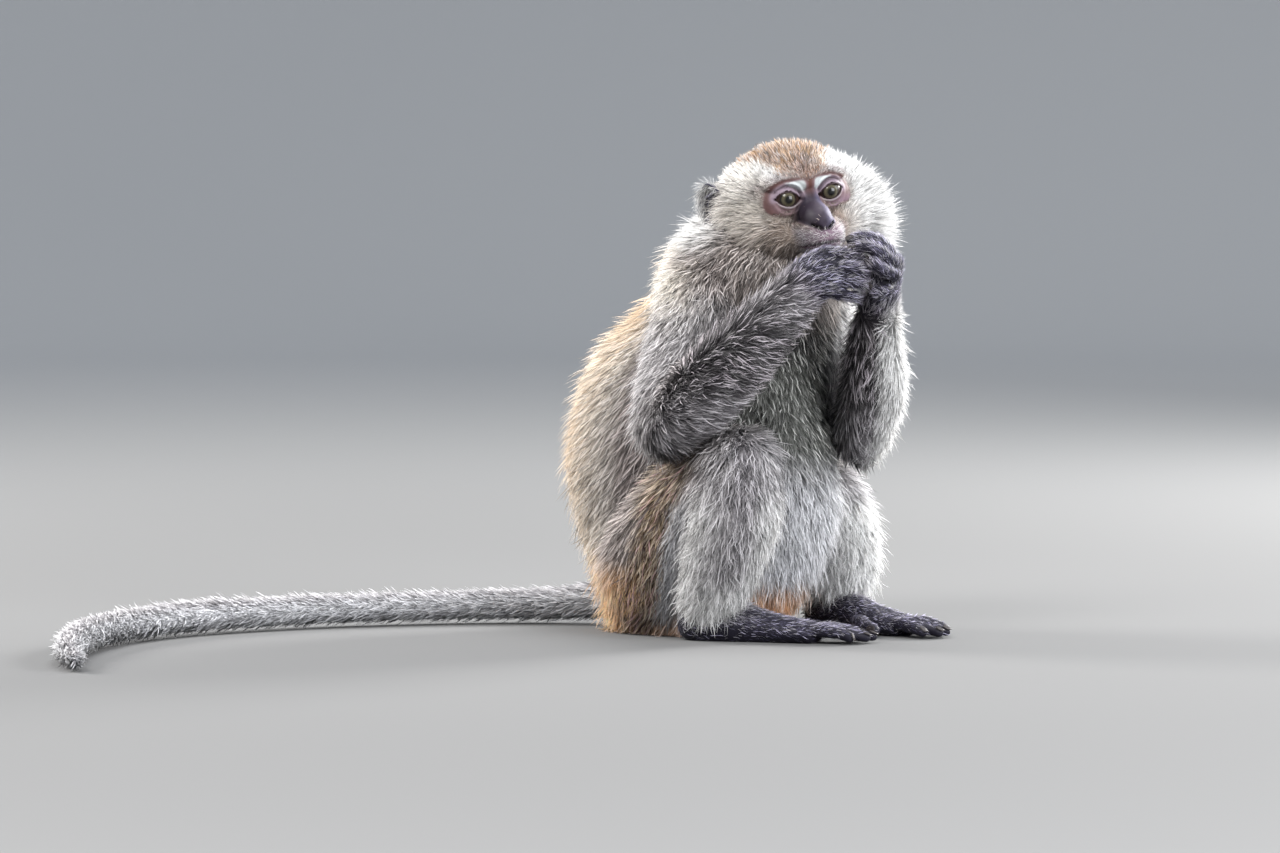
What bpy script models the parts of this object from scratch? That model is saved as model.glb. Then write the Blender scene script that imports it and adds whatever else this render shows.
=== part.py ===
"""A seated long-tailed macaque at life size, as a still museum model.

Run with: blender --background --python part.py
Lengths are millimetres scaled by MM to metres. +Z is up, the floor is Z = 0, and the origin is the
middle of the flat on which the rump rests. The animal eats from both hands, its head turned towards -Y.
Each solid reaches out to the tips of the coat.
"""

import math

import bmesh
import bpy
import numpy as np
from mathutils import Matrix, Vector

MM = 0.001
GAP = 0.35 * MM  # left between pieces that meet
UP = Vector((0, 0, 1))

# Which way the trunk faces: the angle from -Y towards +X.
TRUNK_YAW = math.radians(57)
TRUNK_FRONT = Vector((math.sin(TRUNK_YAW), -math.cos(TRUNK_YAW), 0))
TRUNK_SIDE = Vector((TRUNK_FRONT.y, -TRUNK_FRONT.x, 0))  # the animal's right

# The head turns back towards -Y, leans to the animal's right and dips a little.
HEAD_CENTRE = Vector((94, -20, 287)) * MM
HEAD_YAW = math.radians(14)
HEAD_ROLL = math.radians(10)
HEAD_PITCH = math.radians(-3)
EYE_RADIUS = 9.0
EYE_APART = 14.2  # from the middle of the face to an eye's centre
EYE_FORWARD = 31.0
EYE_HEIGHT = 6.5

# name: (red, green, blue, roughness)
COLOURS = {
    "back_fur": (0.52, 0.40, 0.28, 0.8),
    "grey_fur": (0.36, 0.34, 0.32, 0.8),
    "belly_fur": (0.60, 0.58, 0.54, 0.8),
    "head_fur": (0.58, 0.50, 0.40, 0.8),
    "dark_skin": (0.09, 0.08, 0.09, 0.6),
    "eye": (0.10, 0.07, 0.04, 0.1),
    "tail_fur": (0.52, 0.49, 0.48, 0.8),
}


def clear_scene():
    """Removes whatever the scene holds."""
    for old in list(bpy.data.objects):
        bpy.data.objects.remove(old)


def new_collection(name, hidden=False):
    """A collection linked to the scene."""
    made = bpy.data.collections.new(name)
    made.hide_render = hidden
    bpy.context.scene.collection.children.link(made)
    return made


def material(name):
    """The Principled material of that name, made once."""
    found = bpy.data.materials.get(name)
    if found:
        return found
    red, green, blue, roughness = COLOURS[name]
    made = bpy.data.materials.new(name)
    made.use_nodes = True
    shader = made.node_tree.nodes["Principled BSDF"]
    shader.inputs["Base Color"].default_value = (red, green, blue, 1)
    shader.inputs["Roughness"].default_value = roughness
    return made


def add_object(name, mesh_source, finish, collection):
    """Links a new object that holds a bmesh, shaded smooth."""
    bmesh.ops.recalc_face_normals(mesh_source, faces=mesh_source.faces)
    mesh = bpy.data.meshes.new(name)
    mesh_source.to_mesh(mesh)
    mesh_source.free()
    mesh.shade_smooth()
    mesh.materials.append(material(finish))
    made = bpy.data.objects.new(name, mesh)
    collection.objects.link(made)
    return made


# ---------------------------------------------------------------- lofts


def catmull_rom(rows, count):
    """That many rows, read evenly along a Catmull-Rom curve through the given rows."""
    rows = np.asarray(rows, float)
    ends = np.vstack([2 * rows[0] - rows[1], rows, 2 * rows[-1] - rows[-2]])
    place = np.linspace(0, len(rows) - 1, count)
    first = np.minimum(place.astype(int), len(rows) - 2)
    t = (place - first)[:, None]
    p0, p1, p2, p3 = (ends[first + k] for k in range(4))
    return 0.5 * (
        2 * p1
        + (p2 - p0) * t
        + (2 * p0 - 5 * p1 + 4 * p2 - p3) * t**2
        + (3 * p1 - p0 - 3 * p2 + p3) * t**3
    )


def skin_rings(rings):
    """A closed bmesh through rings of equally many points, each end closed by one face."""
    made = bmesh.new()
    loops = [[made.verts.new(point) for point in ring] for ring in rings]
    sides = len(loops[0])
    for low, high in zip(loops, loops[1:]):
        for i in range(sides):
            j = (i + 1) % sides
            made.faces.new((low[i], low[j], high[j]))
            made.faces.new((low[i], high[j], high[i]))
    made.faces.new(reversed(loops[0]))
    made.faces.new(loops[-1])
    return made


def path_rings(stations, count, sides, hint, caps=(38, 68)):
    """Rings across a path. A station is (x, y, z, half width, half depth) in millimetres.

    The half depth is measured towards hint, as far as the path lets it. Both ends are rounded by
    rings at the caps' angles, in degrees.
    """
    rows = catmull_rom(stations, count) * MM
    centres = rows[:, :3]
    tangents = np.gradient(centres, axis=0)
    tangents /= np.linalg.norm(tangents, axis=1)[:, None]
    angle = np.linspace(0, 2 * math.pi, sides, endpoint=False)
    rings = []
    for row, tangent in zip(rows, tangents):
        side = np.cross(tangent, hint)
        side /= np.linalg.norm(side)
        depth = np.cross(side, tangent)
        across = row[3] * np.outer(np.cos(angle), side) + row[4] * np.outer(np.sin(angle), depth)
        rings.append((row[:3], tangent, across))
    start = round_end(rings[0], -1, caps)[::-1]
    return start + [centre + across for centre, _, across in rings] + round_end(rings[-1], 1, caps)


def round_end(ring, way, caps):
    """The shrinking rings that round off one end of a path."""
    centre, tangent, across = ring
    reach = np.linalg.norm(across, axis=1).min()
    steps = [math.radians(a) for a in caps]
    return [centre + way * reach * math.sin(a) * tangent + math.cos(a) * across for a in steps]


def limb(name, stations, finish, collection, count=7, sides=12, hint=(0, 0, 1)):
    """A limb's length as a rounded loft."""
    rings = path_rings(stations, count, sides, np.array(hint, float))
    return add_object(name, skin_rings(rings), finish, collection)


def digit(name, stations, collection):
    """A finger or toe: a slender rounded loft."""
    rings = path_rings(stations, DIGIT_RINGS, DIGIT_SIDES, np.array(DIGIT_HINT), DIGIT_CAPS)
    return add_object(name, skin_rings(rings), "dark_skin", collection)


# ---------------------------------------------------------------- trunk and neck

# Each row: x, y, z of a section's middle, its reach to the front, to the back and to each side,
# and how far its front edge dips, in degrees.
TRUNK_SECTIONS = (
    (14, 6, 0, 62, 44, 44, 0),
    (18, 6, 14, 75, 54, 54, 0),
    (28, 7, 40, 87, 76, 61, 0),
    (34, 8, 75, 94, 98, 65, 2),
    (35, 8, 108, 98, 107, 67, 4),
    (37, 7, 140, 94, 102, 67, 7),
    (42, 5, 170, 84, 92, 65, 9),
    (50, 3, 196, 74, 73, 62, 10),
    (57, 1, 218, 66, 61, 57, 11),
    (64, -3, 240, 62, 60, 58, 12),
    (72, -6, 258, 56, 53, 52, 14),
    (80, -9, 270, 40, 35, 38, 16),
)
TRUNK_RINGS = 23
TRUNK_SIDES = 22
# Where the trunk is parted: each stretch's name, colour and last ring.
TRUNK_STRETCHES = (("abdomen", "belly_fur", 10), ("chest", "grey_fur", 17), ("neck", "back_fur", 22))


def trunk_rings():
    """Egg-shaped rings up the trunk, and the direction across each."""
    front, side, up = (np.array(v) for v in (TRUNK_FRONT, TRUNK_SIDE, UP))
    angle = np.linspace(0, 2 * math.pi, TRUNK_SIDES, endpoint=False)
    rings = []
    for x, y, z, ahead, behind, beside, dip in catmull_rom(TRUNK_SECTIONS, TRUNK_RINGS):
        dip = math.radians(dip)
        forward = math.cos(dip) * front - math.sin(dip) * up
        reach = np.where(np.cos(angle) > 0, ahead, behind) * np.cos(angle)
        ring = np.outer(reach, forward) + np.outer(beside * np.sin(angle), side)
        across = math.sin(dip) * front + math.cos(dip) * up
        rings.append(((np.array((x, y, z)) + ring) * MM, across))
    return rings


def build_trunk(collection, cutters):
    """The trunk and neck: one loft, parted by thin gaps across it. The whole loft is kept as a cutter."""
    rings = trunk_rings()
    as_cutter(add_object("trunk", skin_rings([ring for ring, _ in rings]), "grey_fur", cutters))
    first = 0
    made = []
    for name, finish, last in TRUNK_STRETCHES:
        stretch = [ring.copy() for ring, _ in rings[first : last + 1]]
        if first:
            stretch[0] += rings[first][1] * GAP / 2
        if last < len(rings) - 1:
            stretch[-1] -= rings[last][1] * GAP / 2
        made.append(add_object(name, skin_rings(stretch), finish, collection))
        first = last
    return made


# ---------------------------------------------------------------- head


def head_axes():
    """The head's own axes as a matrix: its right, its front and its up, with its centre."""
    front = Vector((math.sin(HEAD_YAW), -math.cos(HEAD_YAW), 0))
    right = Vector((front.y, -front.x, 0))
    up = UP * math.cos(HEAD_ROLL) + right * math.sin(HEAD_ROLL)
    right = right * math.cos(HEAD_ROLL) - UP * math.sin(HEAD_ROLL)
    dipped = front * math.cos(HEAD_PITCH) + up * math.sin(HEAD_PITCH)
    up = up * math.cos(HEAD_PITCH) - front * math.sin(HEAD_PITCH)
    axes = Matrix((right, dipped, up)).transposed().to_4x4()
    axes.translation = HEAD_CENTRE
    return axes


# Rounded masses of the head: middle and half sizes along the head's right, front and up, then
# the sides it is made on. The coat stands further out on the left of the head.
BOTH = (1, -1)
MIDDLE = RIGHT = (1,)
LEFT = (-1,)
HEAD_MASSES = (
    ((0, -8, 4), (46, 50, 39), MIDDLE),  # cranium
    ((20, -8, 0), (30, 34, 30), RIGHT),  # temple
    ((28, -6, -1), (32, 32, 31), LEFT),
    ((0, 24, 10), (36, 15, 14), MIDDLE),  # brow
    ((15, 26, -6), (19, 14, 17), BOTH),  # cheekbone
    ((0, 34, -21), (19, 27, 15), MIDDLE),  # muzzle
    ((0, 40, -8), (8, 16, 10), MIDDLE),  # nose
    ((0, 30, -35), (15, 20, 12), MIDDLE),  # chin
    ((28, 0, -24), (30, 29, 34), RIGHT),  # cheek whiskers
    ((37, -1, -24), (36, 30, 35), LEFT),
    ((6, -4, -46), (44, 36, 28), MIDDLE),  # throat
)
HEAD_VOXEL = 3.6 * MM
HEAD_SMOOTHING = 8
HEAD_KEEP = 0.085  # the share of the remeshed faces that stays


def add_ellipsoid(target, middle, half, axes):
    """Adds one rounded mass, given in the head's axes, to a bmesh."""
    place = axes @ Matrix.Translation(Vector(middle) * MM) @ Matrix.Diagonal((*(Vector(half) * MM), 1))
    bmesh.ops.create_icosphere(target, subdivisions=3, radius=1, matrix=place)


def build_head(collection):
    """The head with its muzzle and whiskers: overlapping masses made one skin."""
    axes = head_axes()
    masses = bmesh.new()
    for middle, half, ways in HEAD_MASSES:
        for way in ways:
            add_ellipsoid(masses, (middle[0] * way, *middle[1:]), half, axes)
    head = add_object("head", masses, "head_fur", collection)
    remesh = head.modifiers.new("one_skin", "REMESH")
    remesh.mode = "VOXEL"
    remesh.voxel_size = HEAD_VOXEL
    smooth = head.modifiers.new("soften", "SMOOTH")
    smooth.iterations = HEAD_SMOOTHING
    thin = head.modifiers.new("thin_out", "DECIMATE")
    thin.ratio = HEAD_KEEP
    thin.use_collapse_triangulate = True
    return apply_modifiers(head)


def build_eye(name, way, collection):
    """An eyeball. way is 1 on the animal's right and -1 on its left."""
    middle = Vector((EYE_APART * way, EYE_FORWARD, EYE_HEIGHT)) * MM
    ball = bmesh.new()
    place = head_axes() @ Matrix.Translation(middle) @ Matrix.Rotation(math.radians(90), 4, "X")
    bmesh.ops.create_uvsphere(ball, u_segments=12, v_segments=8, radius=EYE_RADIUS * MM, matrix=place)
    return add_object(name, ball, "eye", collection)


EAR_ROOT = (46, -14, 4)  # the middle of the ear's base, on the right, in the head's axes
EAR_TALL = 13.0
EAR_WIDE = 10.5
EAR_POINT = 0.28  # how much further the ear reaches at its upper tip
EAR_CUP = 4.0
EAR_THICK = 3.2
EAR_OUT = math.radians(50)  # how far it stands out from the side of the head
EAR_RINGS = 3
EAR_SPOKES = 12


def build_ear(name, way, collection):
    """A cupped, slightly pointed ear: an open bowl with a thickness."""
    outward = Vector((math.cos(EAR_OUT) * way, -math.sin(EAR_OUT), 0))
    upward = Vector((0.18 * way, -0.1, 1)).normalized()
    hollow = outward.cross(upward).normalized() * way
    middle = Vector((EAR_ROOT[0] * way, EAR_ROOT[1], EAR_ROOT[2])) + outward * EAR_WIDE * 0.75
    bowl = bmesh.new()
    pole = bowl.verts.new(middle - hollow * EAR_CUP)
    loops = []
    for ring in range(1, EAR_RINGS + 1):
        share = ring / EAR_RINGS
        loop = []
        for spoke in range(EAR_SPOKES):
            angle = 2 * math.pi * spoke / EAR_SPOKES
            tall = EAR_TALL * (1 + EAR_POINT * max(0, math.cos(angle)) ** 3)
            flat = outward * EAR_WIDE * math.sin(angle) + upward * tall * math.cos(angle)
            loop.append(bowl.verts.new(middle + flat * share - hollow * EAR_CUP * (1 - share**2)))
        loops.append(loop)
    for i in range(EAR_SPOKES):
        j = (i + 1) % EAR_SPOKES
        bowl.faces.new((pole, loops[0][i], loops[0][j]))
        for low, high in zip(loops, loops[1:]):
            bowl.faces.new((low[i], high[i], high[j], low[j]))
    bowl.transform(head_axes() @ Matrix.Scale(MM, 4))
    ear = add_object(name, bowl, "dark_skin", collection)
    shell = ear.modifiers.new("shell", "SOLIDIFY")
    shell.thickness = EAR_THICK * MM
    shell.offset = 0
    return apply_modifiers(ear)


# ---------------------------------------------------------------- limbs

# Stations: x, y, z, half width, half depth.
UPPER_ARMS = {
    "right": ((34, -30, 226, 34, 32), (24, -50, 196, 31, 29), (13, -70, 163, 28, 26), (7, -80, 143, 25, 23)),
    "left": ((102, 18, 214, 30, 30), (116, 6, 186, 25, 25), (130, -8, 154, 22, 22), (137, -16, 134, 21, 20)),
}
FOREARMS = {
    "right": (
        (9, -82, 136, 25, 25),
        (26, -90, 158, 27, 26),
        (50, -94, 184, 25, 24),
        (74, -94, 210, 20, 19),
        (92, -93, 229, 16, 15),
    ),
    "left": (
        (135, -18, 130, 20, 19),
        (141, -32, 148, 22, 20),
        (144, -50, 172, 21, 19),
        (144, -64, 198, 17, 15),
        (145, -72, 217, 14, 13),
    ),
}
THIGHS = {
    "right": ((4, -20, 44, 45, 42), (16, -44, 70, 43, 38), (36, -66, 100, 37, 32), (50, -78, 121, 31, 26)),
    "left": ((44, 36, 46, 44, 44), (66, 37, 64, 40, 38), (90, 33, 83, 34, 31), (108, 27, 96, 28, 25)),
}
SHANKS = {
    "right": ((55, -86, 121, 29, 26), (53, -88, 92, 31, 27), (44, -82, 56, 27, 23), (36, -72, 26, 20, 18)),
    "left": ((114, 22, 94, 25, 24), (122, 20, 74, 26, 25), (126, 17, 48, 24, 22), (122, 14, 24, 19, 18)),
}

# Feet: the heel's and the toes' places on the floor plan.
FOOT_LINES = {"right": ((26, -64), (141, -93)), "left": ((112, 18), (190, -56))}
FOOT_LENGTH_SHARE = (0.0, 0.22, 0.45, 0.66)
FOOT_SECTIONS = ((13, 12, 10), (14, 15, 11), (15, 11, 8), (17, 8, 6))  # half width, half depth, height
TOE_SPREAD = (-13.5, -5.0, 4.5, 13.0)  # sideways at the toes' tips
TOE_SPLAY_AT_ROOT = 0.72
TOE_REACH = (0.90, 0.98, 1.0, 0.93)
TOE_RADIUS = 4.6
BIG_TOE = ((0.34, 8, 8), (0.48, 19, 8), (0.60, 27, 6), (0.68, 30, 5.4))  # along, inwards, height

# Hands: each digit's points and, last, its radius.
HANDS = {
    "right": {
        "palm": ((92, -93, 229, 14, 13), (102, -95, 238, 16, 11), (113, -97, 243, 17, 9), (120, -97, 244, 15, 7)),
        "index": ((112, -97, 255), (124, -99, 254), (133, -96, 251), (132, -88, 250)),
        "middle": ((113, -99, 247), (127, -102, 246), (136, -98, 243), (134, -89, 243)),
        "ring": ((112, -99, 238), (126, -102, 237), (135, -98, 234), (133, -89, 235)),
        "little": ((109, -97, 230), (121, -99, 228), (130, -96, 226), (129, -88, 228)),
        "thumb": ((100, -86, 234), (112, -84, 236), (122, -84, 239), (128, -85, 242)),
    },
    "left": {
        "palm": ((145, -72, 217, 13, 12), (148, -78, 229, 14, 11), (151, -84, 241, 15, 9), (153, -86, 247, 14, 7)),
        "index": ((153, -84, 254), (146, -89, 261), (136, -92, 265), (127, -92, 263)),
        "middle": ((154, -90, 248), (147, -97, 254), (137, -99, 259), (128, -98, 258)),
        "ring": ((155, -92, 240), (149, -101, 243), (143, -102, 247), (139, -96, 250)),
        "little": ((153, -89, 232), (150, -97, 230), (145, -102, 229), (141, -99, 233)),
        "thumb": ((143, -74, 232), (137, -77, 238), (132, -79, 243), (128, -80, 247)),
    },
}
HAND_HINTS = {"right": (0.1, -1, 0.35), "left": (1, -0.6, 0.1)}
FINGER_RADIUS = {"index": 4.6, "middle": 4.8, "ring": 4.6, "little": 4.0, "thumb": 4.4}
DIGIT_SIDES = 6
DIGIT_RINGS = 4
DIGIT_CAPS = (50,)
DIGIT_HINT = (0.3, 0.2, 1.0)


def join_all(whole, others):
    """Makes the others one body with the first object, and removes them."""
    for other in others:
        union = whole.modifiers.new("join", "BOOLEAN")
        union.operation = "UNION"
        union.object = other
        whole = apply_modifiers(whole)
        bpy.data.objects.remove(other)
    return whole


def build_hand(side, collection):
    """A hand: the palm with its thumb and fingers."""
    shape = HANDS[side]
    palm = limb(f"hand_{side}", shape["palm"], "dark_skin", collection, 5, 10, HAND_HINTS[side])
    digits = []
    for finger, radius in FINGER_RADIUS.items():
        stations = [(*point, radius, radius) for point in shape[finger]]
        stations[-1] = (*shape[finger][-1], radius * 0.8, radius * 0.8)
        name = f"{finger}_{side}"
        digits.append(digit(name, stations, collection))
    return join_all(palm, digits)


def build_foot(side, collection):
    """A foot: heel, sole and the long toes, the big toe set inwards."""
    heel, tip = (Vector((*end, 0)) for end in FOOT_LINES[side])
    along = tip - heel
    inward = Vector((-along.y, along.x, 0)).normalized()
    if side == "left":
        inward = -inward
    stations = []
    for share, (wide, deep, height) in zip(FOOT_LENGTH_SHARE, FOOT_SECTIONS):
        stations.append((*(heel + along * share + UP * height), wide, deep))
    foot = limb(f"foot_{side}", stations, "dark_skin", collection, 6, 10)
    toes = []
    for i, (spread, reach) in enumerate(zip(TOE_SPREAD, TOE_REACH)):
        points = []
        for share, height, radius in ((0.6, 7, 5.2), (0.74, 8.5, 4.8), (0.88, 6, TOE_RADIUS), (reach, 4, 3.6)):
            sideways = spread * (TOE_SPLAY_AT_ROOT + (1 - TOE_SPLAY_AT_ROOT) * (share - 0.6) / 0.4)
            points.append((*(heel + along * share + inward * sideways + UP * height), radius, radius))
        toes.append(digit(f"toe_{i}_{side}", points, collection))
    points = []
    for share, sideways, height in BIG_TOE:
        points.append((*(heel + along * share + inward * sideways + UP * height), 5.2, 5.2))
    toes.append(digit(f"big_toe_{side}", points, collection))
    return join_all(foot, toes)


# ---------------------------------------------------------------- tail

TAIL_ROUTE = (
    (0, 34, 34, 19),
    (-26, 52, 20, 17),
    (-62, 62, 14, 15),
    (-112, 62, 13, 14),
    (-165, 50, 12.6, 13.5),
    (-218, 30, 12.6, 13.5),
    (-268, 0, 12.6, 13.5),
    (-312, -40, 12.6, 13.5),
    (-344, -90, 12.3, 13.2),
    (-362, -145, 12, 12.8),
    (-369, -200, 11, 11.8),
    (-368, -250, 9.5, 10.2),
    (-360, -292, 7.6, 8.2),
)
TAIL_RINGS = 33
TAIL_SIDES = 10
TAIL_STRETCHES = (("tail_base", 8), ("tail_middle", 16), ("tail_far", 24), ("tail_tip", 32))


def build_tail(collection):
    """The tail along the floor: one rounded loft, parted into four lengths."""
    stations = [(x, y, z, radius, radius) for x, y, z, radius in TAIL_ROUTE]
    rings = path_rings(stations, TAIL_RINGS, TAIL_SIDES, np.array(UP))
    lead = (len(rings) - TAIL_RINGS) // 2
    first = 0
    made = []
    for name, last in TAIL_STRETCHES:
        end = len(rings) - 1 if last == TAIL_RINGS - 1 else last + lead
        stretch = [ring.copy() for ring in rings[first : end + 1]]
        ahead = rings[min(end + 1, len(rings) - 1)].mean(axis=0) - rings[end - 1].mean(axis=0)
        if end < len(rings) - 1:
            stretch[-1] -= ahead / np.linalg.norm(ahead) * GAP / 2
        if first:
            behind = rings[first + 1].mean(axis=0) - rings[first - 1].mean(axis=0)
            stretch[0] += behind / np.linalg.norm(behind) * GAP / 2
        made.append(add_object(name, skin_rings(stretch), "tail_fur", collection))
        first = end
    return made


# ---------------------------------------------------------------- fitting the pieces to each other


def apply_modifiers(thing):
    """Makes an object's evaluated mesh its own."""
    graph = bpy.context.evaluated_depsgraph_get()
    mesh = bpy.data.meshes.new_from_object(thing.evaluated_get(graph))
    thing.modifiers.clear()
    thing.data = mesh
    return thing


def as_cutter(thing):
    """Marks an object as one that only cuts."""
    thing.hide_render = True
    thing.display_type = "WIRE"


def swollen(thing, cutters):
    """A hidden copy of an object, bigger by the gap all round, to cut with."""
    copy = bpy.data.objects.new(f"cutter_{thing.name}", thing.data.copy())
    as_cutter(copy)
    cutters.objects.link(copy)
    swell = copy.modifiers.new("swell", "DISPLACE")
    swell.strength = GAP
    swell.mid_level = 0
    return apply_modifiers(copy)


def cut(thing, cutter):
    """Takes a cutter's shape out of an object."""
    taken = thing.modifiers.new("fit", "BOOLEAN")
    taken.operation = "DIFFERENCE"
    taken.object = cutter
    return apply_modifiers(thing)


def flatten_underside(thing):
    """Cuts an object level with the floor, so that it rests on a flat."""
    half = bmesh.new()
    half.from_mesh(thing.data)
    everything = half.verts[:] + half.edges[:] + half.faces[:]
    found = bmesh.ops.bisect_plane(half, geom=everything, plane_co=(0, 0, 0), plane_no=(0, 0, -1), clear_outer=True)
    rim = [part for part in found["geom_cut"] if isinstance(part, bmesh.types.BMEdge)]
    if rim:
        bmesh.ops.holes_fill(half, edges=rim)
    bmesh.ops.recalc_face_normals(half, faces=half.faces)
    half.to_mesh(thing.data)
    half.free()


# Each piece and those that keep their shape where the two meet.
FITS = (
    ("neck", ("head",)),
    ("chest", ("head",)),
    ("head", ("eye_right", "eye_left")),
    ("ear_right", ("head", "trunk")),
    ("ear_left", ("head", "trunk")),
    ("upper_arm_right", ("trunk", "head")),
    ("upper_arm_left", ("trunk", "head")),
    ("forearm_right", ("upper_arm_right", "trunk", "head", "hand_right")),
    ("forearm_left", ("upper_arm_left", "trunk", "head", "hand_left")),
    ("thigh_right", ("trunk", "upper_arm_right", "forearm_right")),
    ("thigh_left", ("trunk", "upper_arm_left", "forearm_left")),
    ("shank_right", ("thigh_right", "trunk", "forearm_right", "foot_right")),
    ("shank_left", ("thigh_left", "trunk", "forearm_left", "foot_left")),
    ("foot_right", ("trunk", "thigh_right")),
    ("foot_left", ("trunk", "foot_right")),
    ("hand_right", ("head", "trunk")),
    ("hand_left", ("head", "hand_right")),
    ("tail_base", ("trunk",)),
)
FLOOR_PIECES = ("abdomen", "thigh", "shank", "foot", "tail")


def fit_pieces(pieces, cutters):
    """Parts the pieces where they meet, and sets the lowest on the floor."""
    wanted = {name for _, others in FITS for name in others}
    shapes = {name: swollen(bpy.data.objects[name], cutters) for name in sorted(wanted)}
    for name, others in FITS:
        for other in others:
            cut(pieces[name], shapes[other])
    for name, piece in pieces.items():
        if name.startswith(FLOOR_PIECES):
            flatten_underside(piece)


def main():
    """Builds the macaque."""
    clear_scene()
    body = new_collection("macaque")
    cutters = new_collection("cutters", hidden=True)
    made = build_trunk(body, cutters) + build_tail(body)
    made.append(build_head(body))
    for side, way in (("right", 1), ("left", -1)):
        made.append(build_eye(f"eye_{side}", way, body))
        made.append(build_ear(f"ear_{side}", way, body))
        made.append(limb(f"upper_arm_{side}", UPPER_ARMS[side], "back_fur", body))
        made.append(limb(f"forearm_{side}", FOREARMS[side], "grey_fur", body))
        made.append(limb(f"thigh_{side}", THIGHS[side], "back_fur", body, sides=14, hint=(0, 1, 0)))
        made.append(limb(f"shank_{side}", SHANKS[side], "grey_fur", body, hint=(0, 1, 0)))
        made.append(build_hand(side, body))
        made.append(build_foot(side, body))
    fit_pieces({piece.name: piece for piece in made}, cutters)


main()
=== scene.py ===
"""The looks of a seated long-tailed macaque at life size: skin, eyes, nails, coat, camera and lights.

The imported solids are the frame: they reach out to the tips of the coat. One skin lies inside them by
the coat's depth, and solid tufts grow out of it to the same outline. Lengths in the tables are
millimetres, scaled by MM to metres; +Z is up and the floor is Z = 0.
"""

import logging
import math
from dataclasses import dataclass
from enum import Enum

import bpy
import numpy as np
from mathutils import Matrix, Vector

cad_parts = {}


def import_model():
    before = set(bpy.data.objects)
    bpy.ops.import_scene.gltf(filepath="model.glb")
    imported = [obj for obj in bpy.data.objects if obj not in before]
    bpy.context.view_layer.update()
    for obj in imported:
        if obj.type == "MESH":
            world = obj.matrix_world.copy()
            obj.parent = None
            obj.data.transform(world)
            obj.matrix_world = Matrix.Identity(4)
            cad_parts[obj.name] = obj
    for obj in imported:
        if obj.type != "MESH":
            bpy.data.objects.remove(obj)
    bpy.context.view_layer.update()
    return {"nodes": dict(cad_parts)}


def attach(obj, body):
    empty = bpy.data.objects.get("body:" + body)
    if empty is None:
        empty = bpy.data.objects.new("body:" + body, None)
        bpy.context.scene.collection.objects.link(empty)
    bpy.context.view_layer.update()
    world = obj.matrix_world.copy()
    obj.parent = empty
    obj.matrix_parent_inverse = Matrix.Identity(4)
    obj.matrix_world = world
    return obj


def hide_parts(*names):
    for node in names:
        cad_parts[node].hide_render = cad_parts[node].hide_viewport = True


Array = np.ndarray
Object = bpy.types.Object
Chance = np.random.Generator
MM = 0.001
EYE_SPAN = 1.5  # radians from the gaze that the eye's stored angle calls 1
UP = np.array((0.0, 0.0, 1.0))
SIDES = {"right": 1, "left": -1}
LOG = logging.getLogger("macaque")


# ---- small sums on arrays


def unit(vectors: Array) -> Array:
    """The vectors at length one."""
    return vectors / np.maximum(np.linalg.norm(vectors, axis=-1, keepdims=True), 1e-12)


def ramp(low: float, high: float, value: Array) -> Array:
    """0 below low, 1 above high, and a smooth step 3t^2 - 2t^3 between."""
    t = np.clip((value - low) / (high - low), 0, 1)
    return t * t * (3 - 2 * t)


def bell(value: Array, width: float) -> Array:
    """A Gaussian of the value, 1 at zero."""
    return np.exp(-((value / width) ** 2))


def mix(one: Array, other: Array, share: Array) -> Array:
    """Row by row, one where share is 0 and other where it is 1."""
    share = np.asarray(share)[..., None]
    return one * (1 - share) + np.asarray(other) * share


def smooth_rows(rows: Array, count: int) -> Array:
    """Reads rows evenly along the Catmull-Rom curve through them.

    Args:
        rows: the rows that the curve passes through.
        count: how many rows to read.

    Returns:
        An array of count rows.
    """
    rows = np.asarray(rows, float)
    ends = np.vstack([2 * rows[0] - rows[1], rows, 2 * rows[-1] - rows[-2]])
    place = np.linspace(0, len(rows) - 1, count)
    first = np.minimum(place.astype(int), len(rows) - 2)
    t = (place - first)[:, None]
    p0, p1, p2, p3 = (ends[first + k] for k in range(4))
    return 0.5 * (
        2 * p1 + (p2 - p0) * t + (2 * p0 - 5 * p1 + 4 * p2 - p3) * t**2 + (3 * p1 - p0 - 3 * p2 + p3) * t**3
    )


@dataclass(frozen=True)
class Ripple:
    """A smooth irregular field: a sum of sine waves that run in random directions."""

    seed: int
    wavelength: float
    waves: int = 10

    def _waves(self) -> tuple[Array, Array]:
        """Draws the waves.

        Returns:
            The vectors, waves x 3, and the phases.
        """
        rng = np.random.default_rng(self.seed)
        heading = unit(rng.normal(size=(self.waves, 3)))
        size = 2 * math.pi / self.wavelength * rng.uniform(0.6, 1.5, (self.waves, 1))
        return heading * size, rng.uniform(0, 2 * math.pi, self.waves)

    def value(self, points: Array) -> Array:
        """The field, mostly between -1 and 1."""
        vectors, phases = self._waves()
        return np.sin(points @ vectors.T + phases).sum(1) / math.sqrt(self.waves / 2) / 1.6

    def slope(self, points: Array) -> Array:
        """The field's gradient times the wavelength, so of about unit size.

        Args:
            points: N x 3 in metres.

        Returns:
            The gradients, N x 3.
        """
        vectors, phases = self._waves()
        slopes = np.cos(points @ vectors.T + phases) @ vectors
        return slopes * self.wavelength / math.sqrt(self.waves / 2) / 8


def tone(red: int, green: int, blue: int) -> Array:
    """A colour as the eye reads it, 0 to 255, turned to linear light."""
    share = np.array((red, green, blue)) / 255
    return np.where(share <= 0.04045, share / 12.92, ((share + 0.055) / 1.055) ** 2.4)


# ---- surfaces


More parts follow.
